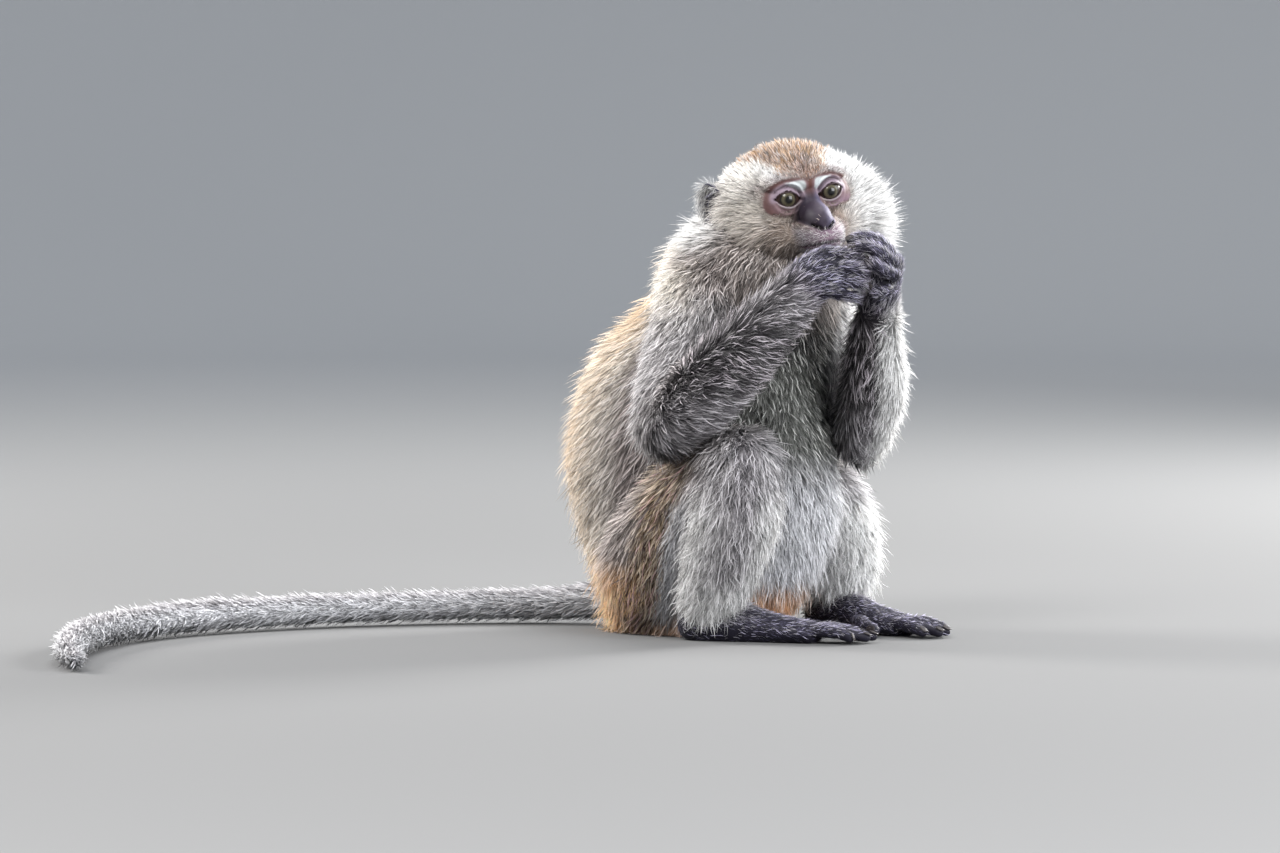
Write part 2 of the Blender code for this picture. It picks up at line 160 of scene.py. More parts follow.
@dataclass
class Surface:
    """A closed shell as points and faces."""

    points: Array
    faces: list

    def object(self, name: str) -> Object:
        """The shell as a new object of the scene.

        Args:
            name: the object's name.

        Returns:
            The object.
        """
        mesh = bpy.data.meshes.new(name)
        mesh.from_pydata(self.points.tolist(), [], self.faces)
        made = bpy.data.objects.new(name, mesh)
        bpy.context.scene.collection.objects.link(made)
        return made


def shell(rings: Array, around: bool = False) -> Surface:
    """Closes a stack of rings into a shell.

    Args:
        rings: count x sides x 3 points.
        around: joins the last ring to the first, as in a torus. Otherwise each end closes on a pole.

    Returns:
        The shell, its quads between neighbouring rings.
    """
    count, sides, _ = rings.shape
    index = np.arange(count * sides).reshape(count, sides)
    right = np.roll(index, -1, axis=1)
    if around:
        above, above_right = np.roll(index, -1, axis=0), np.roll(right, -1, axis=0)
        quads = np.stack([index, above, above_right, right], axis=-1).reshape(-1, 4)
        return Surface(rings.reshape(-1, 3), quads.tolist())
    quads = np.stack([index[:-1], index[1:], right[1:], right[:-1]], axis=-1).reshape(-1, 4)
    low = np.stack([np.full(sides, count * sides), index[0], right[0]], axis=-1)
    high = np.stack([np.full(sides, count * sides + 1), right[-1], index[-1]], axis=-1)
    points = np.vstack([rings.reshape(-1, 3), rings[:1].mean(axis=1), rings[-1:].mean(axis=1)])
    return Surface(points, quads.tolist() + low.tolist() + high.tolist())


def joined(surfaces: list[Surface]) -> Surface:
    """Several shells as one.

    Args:
        surfaces: the shells.

    Returns:
        One surface of them all.
    """
    points, faces, start = [], [], 0
    for surface in surfaces:
        points.append(surface.points)
        faces += [[start + i for i in face] for face in surface.faces]
        start += len(surface.points)
    return Surface(np.vstack(points), faces)


def settle(made: Object) -> Object:
    """Makes an object's modified mesh its own.

    Args:
        made: an object with modifiers.

    Returns:
        The same object.
    """
    graph = bpy.context.evaluated_depsgraph_get()
    mesh = bpy.data.meshes.new_from_object(made.evaluated_get(graph))
    made.modifiers.clear()
    made.data = mesh
    return made


def fused(name: str, surfaces: list[Surface], voxel: float, smoothing: int) -> Object:
    """Overlapping shells made one by a voxel remesh, then smoothed.

    Args:
        name: the new object's name.
        surfaces: the shells.
        voxel: the grid's step in millimetres.
        smoothing: passes of the Smooth modifier.

    Returns:
        The fused object.
    """
    made = joined(surfaces).object(name)
    remesh = made.modifiers.new("one_skin", "REMESH")
    remesh.mode = "VOXEL"
    remesh.voxel_size = voxel * MM
    smooth = made.modifiers.new("soften", "SMOOTH")
    smooth.iterations = smoothing
    return settle(made)


def unite(whole: Object, others: list[Object]) -> Object:
    """Adds other closed objects to the first one and removes them.

    Args:
        whole: the object that grows.
        others: the objects to add.

    Returns:
        The first object.
    """
    for other in others:
        union = whole.modifiers.new("unite", "BOOLEAN")
        union.operation = "UNION"
        union.solver = "MANIFOLD"
        union.object = other
        settle(whole)
        bpy.data.objects.remove(other)
    return whole


# ---- lengths of the body


@dataclass(frozen=True)
class Length:
    """A length of the body: an oval section carried along a path.

    A station is x, y, z, half width, half depth in millimetres, out to the tips of the coat. The skin
    lies inside that by coat, given for its start and its end.
    """

    part: str
    stations: tuple
    coat: tuple
    hint: tuple = (0.0, 0.0, 1.0)
    count: int = 16
    sides: int = 24
    sag: float = 0.0  # how far the coat's lie turns from the path towards the floor, 0 to 1

    def rows(self, count: int) -> Array:
        """Stations read evenly, less the coat, in metres.

        Args:
            count: how many.

        Returns:
            Rows of x, y, z, half width and half depth.
        """
        rows = smooth_rows(self.stations, count) * MM
        coat = np.linspace(*self.coat, count)[:, None] * MM
        rows[:, 3:] = np.maximum(rows[:, 3:] - coat, 1.2 * MM)
        return rows

    def frames(self, count: int) -> tuple[Array, Array, Array, Array]:
        """Rows with the path's heading, side and depth directions.

        Args:
            count: how many rows.

        Returns:
            The rows and three arrays of unit vectors.
        """
        rows = self.rows(count)
        heading = unit(np.gradient(rows[:, :3], axis=0))
        side = unit(np.cross(heading, self.hint))
        return rows, heading, side, np.cross(side, heading)

    def surface(self) -> Surface:
        """Rings centre + cos(a) width side + sin(a) depth deep, with ends rounded as quarter circles.

        Returns:
            The shell, in metres.
        """
        rows, heading, side, deep = self.frames(self.count)
        angle = np.linspace(0, 2 * math.pi, self.sides, endpoint=False)
        across = (
            rows[:, 3, None, None] * np.cos(angle)[None, :, None] * side[:, None]
            + rows[:, 4, None, None] * np.sin(angle)[None, :, None] * deep[:, None]
        )
        rings = rows[:, None, :3] + across
        turn = np.radians((25, 50, 70, 84))
        caps = []
        for end, way in ((0, -1), (-1, 1)):
            reach = rows[end, 3:].min() * way
            push = reach * np.sin(turn)[:, None, None] * heading[end]
            caps.append(rows[end, :3] + push + np.cos(turn)[:, None, None] * across[end])
        return shell(np.concatenate([caps[0][::-1], rings, caps[1]]))


@dataclass(frozen=True)
class Digit:
    """A finger or toe: a path that thickens at its two knuckles and thins to the tip."""

    part: str
    points: tuple
    radius: float
    hint: tuple = (0.3, 0.2, 1.0)

    def length(self) -> Length:
        """The digit as a Length. Its radius falls by a quarter and swells at the knuckles.

        Returns:
            The length.
        """
        count = 13
        along = np.linspace(0, 1, count)
        swell = 0.09 * bell(along - 0.36, 0.09) + 0.08 * bell(along - 0.68, 0.07)
        radius = self.radius * (1.0 - 0.28 * along**1.5 + swell)
        stations = np.column_stack([smooth_rows(self.points, count), radius, radius])
        return Length(self.part, tuple(map(tuple, stations)), (0, 0), self.hint, 22, 14)


@dataclass(frozen=True)
class Trunk:
    """Trunk and neck: egg-shaped sections up a leaning axis.

    A section is x, y, z of its middle, its reach ahead, behind and beside, and its dip in degrees.
    """

    yaw: float = math.radians(57)  # the way it faces, from -Y towards +X
    sections: tuple = (
        (14, 6, 0, 62, 44, 44, 0),
        (18, 6, 14, 75, 54, 54, 0),
        (28, 7, 40, 87, 76, 61, 0),
        (34, 8, 75, 94, 98, 65, 2),
        (35, 8, 108, 98, 107, 67, 4),
        (37, 7, 140, 94, 102, 67, 7),
        (42, 5, 170, 84, 92, 65, 9),
        (50, 3, 196, 74, 73, 62, 10),
        (57, 1, 218, 66, 61, 57, 11),
        (64, -3, 240, 62, 60, 58, 12),
        (72, -6, 258, 56, 53, 52, 14),
        (80, -9, 270, 40, 35, 38, 16),
    )
    coat_ahead: float = 8.0
    coat_behind: float = 12.0
    coat_beside: float = 10.0
    rump_height: float = 132.0  # where the abdomen gives way to the chest
    neck_height: float = 218.0
    floor_gap: float = 6.0  # how far the skin stays above the floor

    @property
    def front(self) -> Array:
        """The way the trunk faces."""
        return np.array((math.sin(self.yaw), -math.cos(self.yaw), 0))

    @property
    def side(self) -> Array:
        """The animal's right."""
        return np.array((self.front[1], -self.front[0], 0))

    def rows(self, count: int) -> Array:
        """Sections read evenly, less the coat, in millimetres.

        Args:
            count: how many.

        Returns:
            Rows as in sections.
        """
        rows = smooth_rows(self.sections, count)
        rows[:, 3] -= self.coat_ahead
        rows[:, 4] -= self.coat_behind
        rows[:, 5] -= self.coat_beside
        return rows

    def surface(self) -> Surface:
        """Rings whose reach is ahead cos a in front, behind cos a at the back and beside sin a across.

        Returns:
            The shell, in metres.
        """
        rows = self.rows(48)
        angle = np.linspace(0, 2 * math.pi, 72, endpoint=False)
        dip = np.radians(rows[:, 6])[:, None]
        forward = np.cos(dip) * self.front - np.sin(dip) * UP
        ahead = np.where(np.cos(angle) > 0, rows[:, 3, None], rows[:, 4, None]) * np.cos(angle)
        rings = (
            rows[:, None, :3]
            + ahead[:, :, None] * forward[:, None]
            + (rows[:, 5, None] * np.sin(angle))[:, :, None] * self.side
        )
        rings[:, :, 2] = np.maximum(rings[:, :, 2], self.floor_gap)
        return shell(rings * MM)


# ---- head


@dataclass(frozen=True)
class Mass:
    """A rounded mass of the head: its middle and half sizes along the head's right, front and up."""

    middle: tuple
    half: tuple


@dataclass(frozen=True)
class Eyes:
    """Where the eyes sit in the head, and the opening of the lids."""

    apart: float = 15.0  # from the middle of the face
    forward: float = 25.0
    height: float = 7.5
    radius: float = 9.2
    lid: float = 0.9  # the lids' thickness over the ball
    half_width: float = 7.8
    upper: float = 4.45
    lower: float = 4.0
    slant: float = 0.12  # how much the inner corner lies lower
    iris: float = math.radians(34)  # half angle of the iris, seen from the ball's middle
    pupil: float = math.radians(12.5)
    gaze: tuple = (0.09, 1.0, 0.0)  # the way both eyes look, in the head's axes

    def middle(self, way: int) -> Array:
        """The ball's middle on one side, in the head's axes."""
        return np.array((self.apart * way, self.forward, self.height))

    def opening(self, across: Array) -> tuple[Array, Array]:
        """The lids' edges: half height times (1 - (x / half width)^2)^p, with p larger at the inner corner.

        Args:
            across: distance from the ball's middle, positive away from the nose.

        Returns:
            The upper and the lower edge's height over the ball's middle.
        """
        power = np.where(across < 0, 0.95, 0.62)
        share = np.clip(1 - (across / self.half_width) ** 2, 0, None) ** power
        tilt = self.slant * across
        return self.upper * share + tilt, -self.lower * share + tilt


@dataclass(frozen=True)
class Head:
    """The head without ears: one surface seen from a point inside, with the face worked into it."""

    centre: tuple = (92.3, -20.0, 287.0)
    yaw: float = math.radians(18)
    roll: float = math.radians(10)
    pitch: float = math.radians(-4.7)
    eyes: Eyes = Eyes()
    inside: tuple = (0.0, 0.0, -8.0)  # where the surface is seen from
    sharpness: float = 13.0  # how tightly neighbouring masses blend
    masses: tuple = (
        Mass((0, -8, 4), (38, 42, 32)),  # cranium
        Mass((17, -8, 0), (26, 30, 27)),  # temples
        Mass((-23, -7, -3), (26, 29, 25)),
        Mass((0, 21, 16), (27, 14, 9)),  # brow
        Mass((15, 20, 6), (14, 13, 14)),  # orbits
        Mass((-15, 20, 6), (14, 13, 14)),
        Mass((21, 13, -8), (17, 16, 16)),  # cheekbones
        Mass((-21, 13, -8), (17, 16, 16)),
        Mass((0, 28, 4), (7, 10, 14)),  # nose bridge
        Mass((0, 36.5, -5), (9.3, 18, 8.5)),  # nose
        Mass((-1.5, 32, -18), (16.2, 25, 13.5)),  # muzzle
        Mass((-1, 26, -33), (14, 20, 10.5)),  # chin
        Mass((15, 17, -19), (14, 17, 14)),  # beside the muzzle
        Mass((-18.5, 21.5, -19), (13.5, 17.5, 14.5)),
        Mass((22, -2, -24), (23, 24, 27)),  # cheeks under the whiskers
        Mass((-28, -3, -24), (27, 25, 28)),
        Mass((5, -6, -44), (36, 28, 24)),  # throat
    )
    nostril_height: float = -10.3
    mouth_height: float = -22.0

    def axes(self) -> Array:
        """Columns: the head's right, front and up.

        Returns:
            A 3 x 3 array.
        """
        front = np.array((math.sin(self.yaw), -math.cos(self.yaw), 0))
        right = np.array((front[1], -front[0], 0))
        up = UP * math.cos(self.roll) + right * math.sin(self.roll)
        right = right * math.cos(self.roll) - UP * math.sin(self.roll)
        dipped = front * math.cos(self.pitch) + up * math.sin(self.pitch)
        up = up * math.cos(self.pitch) - front * math.sin(self.pitch)
        return np.column_stack([right, dipped, up])

    def world(self, points: Array) -> Array:
        """Points in the head's axes, in millimetres, to metres in the scene."""
        return (np.array(self.centre) + points @ self.axes().T) * MM

    def local(self, points: Array) -> Array:
        """Points of the scene to millimetres in the head's axes."""
        return (points / MM - np.array(self.centre)) @ self.axes()

    def reach(self, heading: Array) -> Array:
        """How far the masses reach in a direction: the 13-norm of each ellipsoid's own reach.

        Args:
            heading: unit vectors in the head's axes, N x 3.

        Returns:
            N distances from the inside point, in millimetres.
        """
        total = np.zeros(len(heading))
        for mass in self.masses:
            half = np.array(mass.half)
            offset = (np.array(self.inside) - mass.middle) / half
            ray = heading / half
            a, b, c = (ray**2).sum(1), ray @ offset, offset @ offset - 1
            root = b**2 - a * c
            far = np.where(root > 0, (-b + np.sqrt(np.maximum(root, 0))) / a, 0)
            total += np.maximum(far, 0) ** self.sharpness
        return total ** (1 / self.sharpness)

    def surface(self) -> Surface:
        """The head on a grid of two angles with its poles at the ears, finest over the face.

        Returns:
            The shell, in metres.
        """
        across = 1 - 2 * spread(136, 0.5, 0.23, 2.8)
        around = 2 * math.pi * (spread(212, 0.5, 0.15, 3.6, closed=True) - 0.5)
        tilt = np.arccos(np.clip(np.sin(across * math.pi / 2), -1, 1))[:, None]
        right, front, up = np.cos(tilt), np.sin(tilt) * np.cos(around), np.sin(tilt) * np.sin(around)
        heading = np.stack(np.broadcast_arrays(right, front, up), axis=-1)
        flat = heading[1:-1].reshape(-1, 3)
        points = np.array(self.inside) + flat * self.reach(flat)[:, None]
        rings = self.face(points).reshape(*heading[1:-1].shape)
        return shell(self.world(rings))

    def face(self, points: Array) -> Array:
        """Works sockets, lids, nose, lips and folds into the front of the head.

        Each feature moves the skin forwards or back by a bell of its distance, seen from the front,
        from the feature's line.

        Args:
            points: N x 3 in the head's axes.

        Returns:
            The moved points.
        """
        x, y, z = points.T.copy()
        front = ramp(14, 24, y)
        side = np.abs(x)
        move = np.zeros(len(x))
        move += -1.8 * bell(side - 2, 5) * bell(z - 11, 4.5)  # root of the nose
        move += 0.9 * bell(side - 14, 11) * bell(z - 21, 3)  # brow ridge
        wing = np.hypot((side - 5.6) / 3.6, (z - self.nostril_height - 2.2) / 3.2)
        move += 1.8 * np.exp(-(wing**2))
        slit = self.nostril(side, z)
        move -= 3.8 * bell(slit - 0.5, 1.25) * ramp(1.7, 3.0, side) * ramp(8.0, 6.2, side) * ramp(34, 40, y)
        move -= 0.9 * bell(slit, 0.8) * ramp(5, 3, side)
        move -= 0.6 * ramp(0, -2.5, slit) * ramp(-7, -3.5, slit) * ramp(9, 6, side)
        move -= 0.7 * bell(side, 1.2) * bell(z + 14.5, 3.5)  # groove under the nose
        lip = self.lip(x, z)
        move -= 1.8 * bell(lip, 0.8) * ramp(17, 12, side)
        move += 0.8 * (bell(lip - 2.4, 1.6) + bell(lip + 2.4, 1.6)) * ramp(17, 10, side)
        fold = side - 9.5 - 0.45 * (4 - z) * ramp(6, -4, z)
        move -= 0.9 * bell(fold, 1.1) * ramp(7, 0, z) * ramp(-19, -10, z)
        y = y + move * front
        for way in SIDES.values():
            x, y, z = self.lids(np.column_stack([x, y, z]), way).T
        return np.column_stack([x, y, z])

    def nostril(self, side: Array, z: Array) -> Array:
        """Height over the nostril's slanted slit, which rises outwards from under the tip."""
        return z - self.nostril_height + 2.3 - 0.62 * np.maximum(side - 3.0, 0)

    def lip(self, x: Array, z: Array) -> Array:
        """Height over the line of the mouth, which bends down to its corners."""
        return z - self.mouth_height + 0.012 * x**2

    def lids(self, points: Array, way: int) -> Array:
        """One eye's surroundings: a groove round the ball, the lids over it and the opening.

        The lids are the sphere of the ball's radius plus the lid's thickness. Inside the opening the
        skin drops behind the ball.

        Args:
            points: N x 3 in the head's axes.
            way: 1 for the right eye, -1 for the left.

        Returns:
            The moved points.
        """
        eyes = self.eyes
        x, y, z = points.T.copy()
        middle = eyes.middle(way)
        across, height = (x - middle[0]) * way, z - middle[2]
        flat = np.hypot(across, height)
        near = ramp(10, 18, y)
        edge = eyes.radius + eyes.lid
        groove = 1.3 * bell(flat - edge - 1.6, 1.5) * (0.35 + 0.65 * ramp(-3, 5, height))
        groove = groove + 0.35 * bell(flat - edge + 2.4, 0.6) * ramp(-2, -5, height)
        y = y - groove * near
        dome = middle[1] + np.sqrt(np.maximum(edge**2 - flat**2, 0))
        over = ramp(edge + 0.4, edge - 1.8, flat)
        dome = np.where(height < 0, np.maximum(dome, dome + (y - 0.9 - dome) * ramp(0, -3, height)), dome)
        y = np.where(near > 0, y * (1 - over) + dome * over, y)
        upper, lower = eyes.opening(across)
        crease = height - 3.9 - upper
        y = y - 0.7 * bell(crease, 0.6) * ramp(edge + 1, edge - 1, flat) * near
        inner = np.minimum(upper - height, height - lower)
        spare = eyes.half_width - np.abs(across)
        inner = np.where(spare > 0, inner, np.minimum(inner, spare))
        drop = ramp(-0.9, -0.1, inner) * near
        return np.column_stack([x, y * (1 - drop) + (middle[1] - 2) * drop, z])

    def lid_rims(self) -> list[Surface]:
        """The thick edges of the lids: a bead carried round each opening on the lids' sphere.

        Returns:
            A shell for each eye, in metres.
        """
        eyes = self.eyes
        made = []
        turn = np.linspace(0, 2 * math.pi, 96, endpoint=False)
        for way in SIDES.values():
            across = eyes.half_width * np.cos(turn) * 0.995
            upper, lower = eyes.opening(across)
            height = np.where(np.sin(turn) >= 0, upper, lower)
            flat = np.hypot(across, height)
            ball = eyes.radius + 0.3
            depth = np.sqrt(np.maximum(ball**2 - flat**2, (0.42 * ball) ** 2))
            line = np.column_stack([across, depth, height])
            along = unit(np.roll(line, -1, axis=0) - np.roll(line, 1, axis=0))
            out = unit(line * (1, 0.55, 1))
            away = unit(np.cross(along, out))
            away *= np.sign((away * (line * (1, 0, 1))).sum(1, keepdims=True))
            bead = np.linspace(0, 2 * math.pi, 10, endpoint=False)
            thick = (0.55 + 0.25 * np.sin(turn))[:, None]
            wide = thick * (0.85 * np.cos(bead) + 0.55)
            tall = thick * (0.5 * np.sin(bead) + 0.25)
            rings = line[:, None] + wide[..., None] * away[:, None] + tall[..., None] * out[:, None]
            rings = rings * (way, 1, 1) + eyes.middle(way)
            made.append(shell(self.world(rings)[:, ::-way], around=True))
        return made


def spread(count: int, focus: float, width: float, gain: float, closed: bool = False) -> Array:
    """Places from 0 to 1, gain times denser within width of the focus.

    They are even steps of the summed density 1 + (gain - 1) exp(-((t - focus) / width)^4).

    Args:
        count: how many places.
        focus: where they are dense.
        width: how far to each side.
        gain: how much denser.
        closed: leaves out the place at 1, which is the one at 0.

    Returns:
        The places.
    """
    fine = np.linspace(0, 1, 2001)
    density = 1 + (gain - 1) * np.exp(-(((fine - focus) / width) ** 4))
    total = np.concatenate([[0], np.cumsum((density[1:] + density[:-1]) / 2)])
    return np.interp(np.linspace(0, total[-1], count, endpoint=not closed), total, fine)


@dataclass(frozen=True)
class Ear:
    """A cupped, slightly pointed ear: a bowl with a rolled rim and a thickness."""

    root: tuple = (43.5, -12.0, 4.0)  # the middle of its base, on the right, in the head's axes
    tall: float = 12.6
    wide: float = 10.0
    point: float = 0.28  # how much further it reaches at its upper tip
    cup: float = 3.4
    thick: float = 2.0
    out: float = math.radians(50)  # how far it turns back from the side of the head
    tuck: tuple = (-5.0, -3.0, -10.0)  # how the left ear lies closer, further back and lower
    tuck_turn: float = math.radians(20)

    def frame(self, way: int) -> tuple[Array, Array, Array, Array]:
        """The ear's middle, outward, upward and hollow directions in the head's axes.

        Args:
            way: 1 for the right ear, -1 for the left.

        Returns:
            A point in millimetres and three unit vectors.
        """
        out = self.out + (self.tuck_turn if way < 0 else 0)
        outward = np.array((math.cos(out) * way, -math.sin(out), 0))
        upward = unit(np.array((0.18 * way, -0.1, 1)))
        hollow = -unit(np.cross(outward, upward)) * way
        root = np.array(self.root) + (np.array(self.tuck) if way < 0 else 0)
        middle = root * (way, 1, 1) + outward * self.wide * 0.75
        return middle, outward, upward, hollow

    def surface(self, head: Head, way: int) -> Surface:
        """Rings of an ellipse, pointed at the top, whose height over the rim's plane is -cup (1 - s^2).

        The rim rolls forwards by a bell of 1 - s, the hollow deepens towards its lower front, and the
        back is the same bowl one thickness behind.

        Args:
            head: the head it stands on.
            way: 1 for the right ear, -1 for the left.

        Returns:
            The shell, in metres.
        """
        middle, outward, upward, hollow = self.frame(way)
        angle = np.linspace(0, 2 * math.pi, 48, endpoint=False)
        tall = self.tall * (1 + self.point * np.maximum(0, np.cos(angle)) ** 3)
        flat = self.wide * np.sin(angle)[:, None] * outward + (tall * np.cos(angle))[:, None] * upward
        front = np.linspace(0.06, 1.0, 15)
        share = np.concatenate([front, 0.5 + 0.53 * np.array((1, 1)), front[::-1]])
        side = np.concatenate([np.ones(15), (0.55, -0.55), -np.ones(15)])
        depth = -self.cup * (1 - share**2) + 1.5 * bell(share - 1, 0.16)
        well = -2.6 * np.exp(-(((share[:, None] * np.sin(angle) + 0.28) / 0.42) ** 2))
        well = well * np.exp(-(((share[:, None] * np.cos(angle) + 0.12) / 0.5) ** 2)) * (side > 0)[:, None]
        height = depth[:, None] + well + (side * self.thick / 2)[:, None]
        rings = middle + share[:, None, None] * flat + height[:, :, None] * hollow
        return shell(head.world(rings)[:, ::way])


# ---- limbs, hands and feet

LEG_HINT = (0.0, 1.0, 0.0)
LIMBS = (
    Length("upper_arm_right", ((34, -30, 226, 34, 32), (24, -50, 196, 31, 29), (13, -70, 163, 28, 26),
                               (7, -80, 143, 25, 23)), (9, 9)),
    Length("upper_arm_left", ((102, 18, 214, 30, 30), (116, 6, 186, 25, 25), (130, -8, 154, 22, 22),
                              (137, -16, 134, 21, 20)), (8, 8)),
    Length("forearm_right", ((11, -82, 141, 24, 23), (26, -90, 158, 27, 26), (50, -94, 184, 25, 24),
                             (74, -94, 210, 20, 19), (92, -93, 229, 16, 15)), (7.5, 3), sag=0.45),
    Length("forearm_left", ((135, -18, 130, 20, 19), (141, -32, 148, 22, 20), (144, -50, 172, 21, 19),
                            (144, -64, 198, 17, 15), (145, -72, 217, 14, 13)), (7, 2), sag=0.75),
    Length("thigh_right", ((4, -20, 44, 45, 42), (16, -44, 70, 43, 38), (36, -66, 100, 37, 32),
                           (50, -78, 121, 31, 26)), (9, 9), LEG_HINT, sag=1.0),
    Length("thigh_left", ((44, 36, 46, 44, 44), (66, 37, 64, 40, 38), (90, 33, 83, 34, 31),
                          (108, 27, 96, 28, 25)), (9, 9), LEG_HINT, sag=1.0),
    Length("shank_right", ((55, -86, 121, 29, 26), (53, -88, 92, 31, 27), (44, -82, 56, 27, 23),
                           (36, -72, 26, 20, 18)), (9, 5.5), LEG_HINT, sag=0.5),
    Length("shank_left", ((114, 22, 94, 25, 24), (122, 20, 74, 26, 25), (126, 17, 48, 24, 22),
                          (122, 14, 24, 19, 18)), (8.5, 5.5), LEG_HINT, sag=0.5),
)
TAIL = Length(
    "tail",
    (
        (0, 34, 34, 19, 19), (-26, 52, 20, 17, 17), (-62, 62, 14, 15, 14), (-112, 62, 13, 14, 13),
        (-165, 50, 12.6, 13.5, 12.6), (-218, 30, 12.6, 13.5, 12.6), (-268, 0, 12.6, 13.5, 12.6),
        (-312, -40, 12.6, 13.5, 12.6), (-344, -90, 12.3, 13.2, 12.3), (-362, -145, 12, 12.8, 12),
        (-369, -200, 11, 11.8, 11), (-368, -250, 9.5, 10.2, 9.5), (-360, -292, 7.6, 8.2, 7.6),
    ),
    (5.5, 4), count=110, sides=20,
)
TAIL_NODES = ("tail_base", "tail_middle", "tail_far", "tail_tip")


class Finger(Enum):
    """A hand's digits: each one's number and its radius in millimetres."""

    INDEX = (1, 4.2)
    MIDDLE = (2, 4.35)
    RING = (3, 4.2)
    LITTLE = (4, 3.75)
    THUMB = (5, 4.15)

    @property
    def radius(self) -> float:
        """Half the digit's thickness at its root."""
        return self.value[1]


@dataclass(frozen=True)
class Hand:
    """A hand brought up to the mouth: the palm, and each digit's points from knuckle to tip."""

    side: str
    palm: tuple
    hint: tuple
    digits: dict

    def lengths(self) -> list[Length]:
        """The palm and the digits.

        Returns:
            A list of lengths.
        """
        part = f"hand_{self.side}"
        made = [Length(part, self.palm, (0.6, 0.6), self.hint, 12, 22)]
        return made + [digit.length() for digit in self.digit_list()]

    def digit_list(self) -> list[Digit]:
        """The fingers and the thumb."""
        return [Digit(f"hand_{self.side}", points, finger.radius) for finger, points in self.digits.items()]


HANDS = (
    Hand(
        "right",
        ((92, -93, 229, 14, 13), (102, -95, 238, 16, 11), (113, -97, 243, 17, 9), (120, -97, 244, 15, 7)),
        (0.1, -1, 0.35),
        {
            Finger.INDEX: ((112, -97, 255), (124, -99, 254), (133, -96, 251), (132, -88, 250)),
            Finger.MIDDLE: ((113, -99, 247), (127, -102, 246), (136, -98, 243), (134, -89, 243)),
            Finger.RING: ((112, -99, 238), (126, -102, 237), (135, -98, 234), (133, -89, 235)),
            Finger.LITTLE: ((109, -97, 230), (121, -99, 228), (130, -96, 226), (129, -88, 228)),
            Finger.THUMB: ((100, -86, 234), (112, -84, 236), (122, -84, 239), (128, -85, 242)),
        },
    ),
    Hand(
        "left",
        ((145, -72, 217, 13, 12), (148, -78, 229, 14, 11), (151, -84, 241, 15, 9), (153, -86, 247, 14, 7)),
        (1, -0.6, 0.1),
        {
            Finger.INDEX: ((153, -84, 254), (146, -89, 261), (136, -92, 265), (127, -92, 263)),
            Finger.MIDDLE: ((154, -90, 248), (147, -97, 254), (137, -99, 259), (128, -98, 258)),
            Finger.RING: ((155, -92, 240), (149, -101, 243), (143, -102, 247), (139, -96, 250)),
            Finger.LITTLE: ((153, -89, 232), (150, -97, 230), (145, -102, 229), (141, -99, 233)),
            Finger.THUMB: ((143, -74, 232), (137, -77, 238), (132, -79, 243), (128, -80, 247)),
        },
    ),
)


@dataclass(frozen=True)
class Foot:
    """A flat foot between a heel and the toes' tips on the floor, with the big toe set inwards."""

    side: str
    heel: tuple
    tip: tuple
    inward: int  # 1 or -1, the side of the line that the big toe is on
    sections: tuple = ((0.0, 13, 12, 10), (0.22, 14, 15, 11), (0.45, 15, 11, 8), (0.66, 17, 8, 6))
    spread: tuple = (-13.5, -5.0, 4.5, 13.0)
    splay_at_root: float = 0.72
    reach: tuple = (0.90, 0.98, 1.0, 0.93)
    big_toe: tuple = ((0.34, 8, 8), (0.48, 19, 8), (0.60, 27, 6), (0.68, 30, 5.4))

    def place(self, share: float, sideways: float, height: float) -> tuple:
        """A point a share of the way along, some way inwards and up.

        Args:
            share: 0 at the heel and 1 at the tip.
            sideways: millimetres inwards.
            height: millimetres over the floor.

        Returns:
            x, y and z in millimetres.
        """
        heel, along = np.array(self.heel, float), np.array(self.tip, float) - self.heel
        inward = unit(np.array((-along[1], along[0]))) * self.inward
        return (*(heel + along * share + inward * sideways), height)

    def digit_list(self) -> list[Digit]:
        """The four long toes and the big one.

        Returns:
            A list of digits.
        """
        made = []
        for spread, reach in zip(self.spread, self.reach):
            points = []
            for share, height in ((0.6, 7), (0.74, 8.5), (0.88, 6), (reach, 4.2)):
                sideways = spread * (self.splay_at_root + (1 - self.splay_at_root) * (share - 0.6) / 0.4)
                points.append(self.place(share, sideways, height))
            made.append(Digit(f"foot_{self.side}", tuple(points), 4.2, (0, 0, 1)))
        points = tuple(self.place(*row) for row in self.big_toe)
        return made + [Digit(f"foot_{self.side}", points, 5.1, (0, 0, 1))]

    def lengths(self) -> list[Length]:
        """The sole and the toes.

        Returns:
            A list of lengths.
        """
        rows = self.sections
        stations = tuple((*self.place(share, 0, height), wide, deep) for share, wide, deep, height in rows)
        sole = Length(f"foot_{self.side}", stations, (0.6, 0.6), (0, 0, 1), 20, 26)
        return [sole] + [toe.length() for toe in self.digit_list()]


FEET = (
    Foot("right", (26, -64), (141, -93), 1),
    Foot("left", (112, 18), (190, -56), -1),
)


# ---- which part a point belongs to

TRUNK_STEP = 0.004  # half the way between two steps of the trunk, in metres
TRUNK_SAG = 0.6
FINE_STEP = 0.0045  # from step to step along hands, feet and digits
COARSE_STEP = 0.007  # and along the other lengths
BATCH = 3000  # points that are read at a time


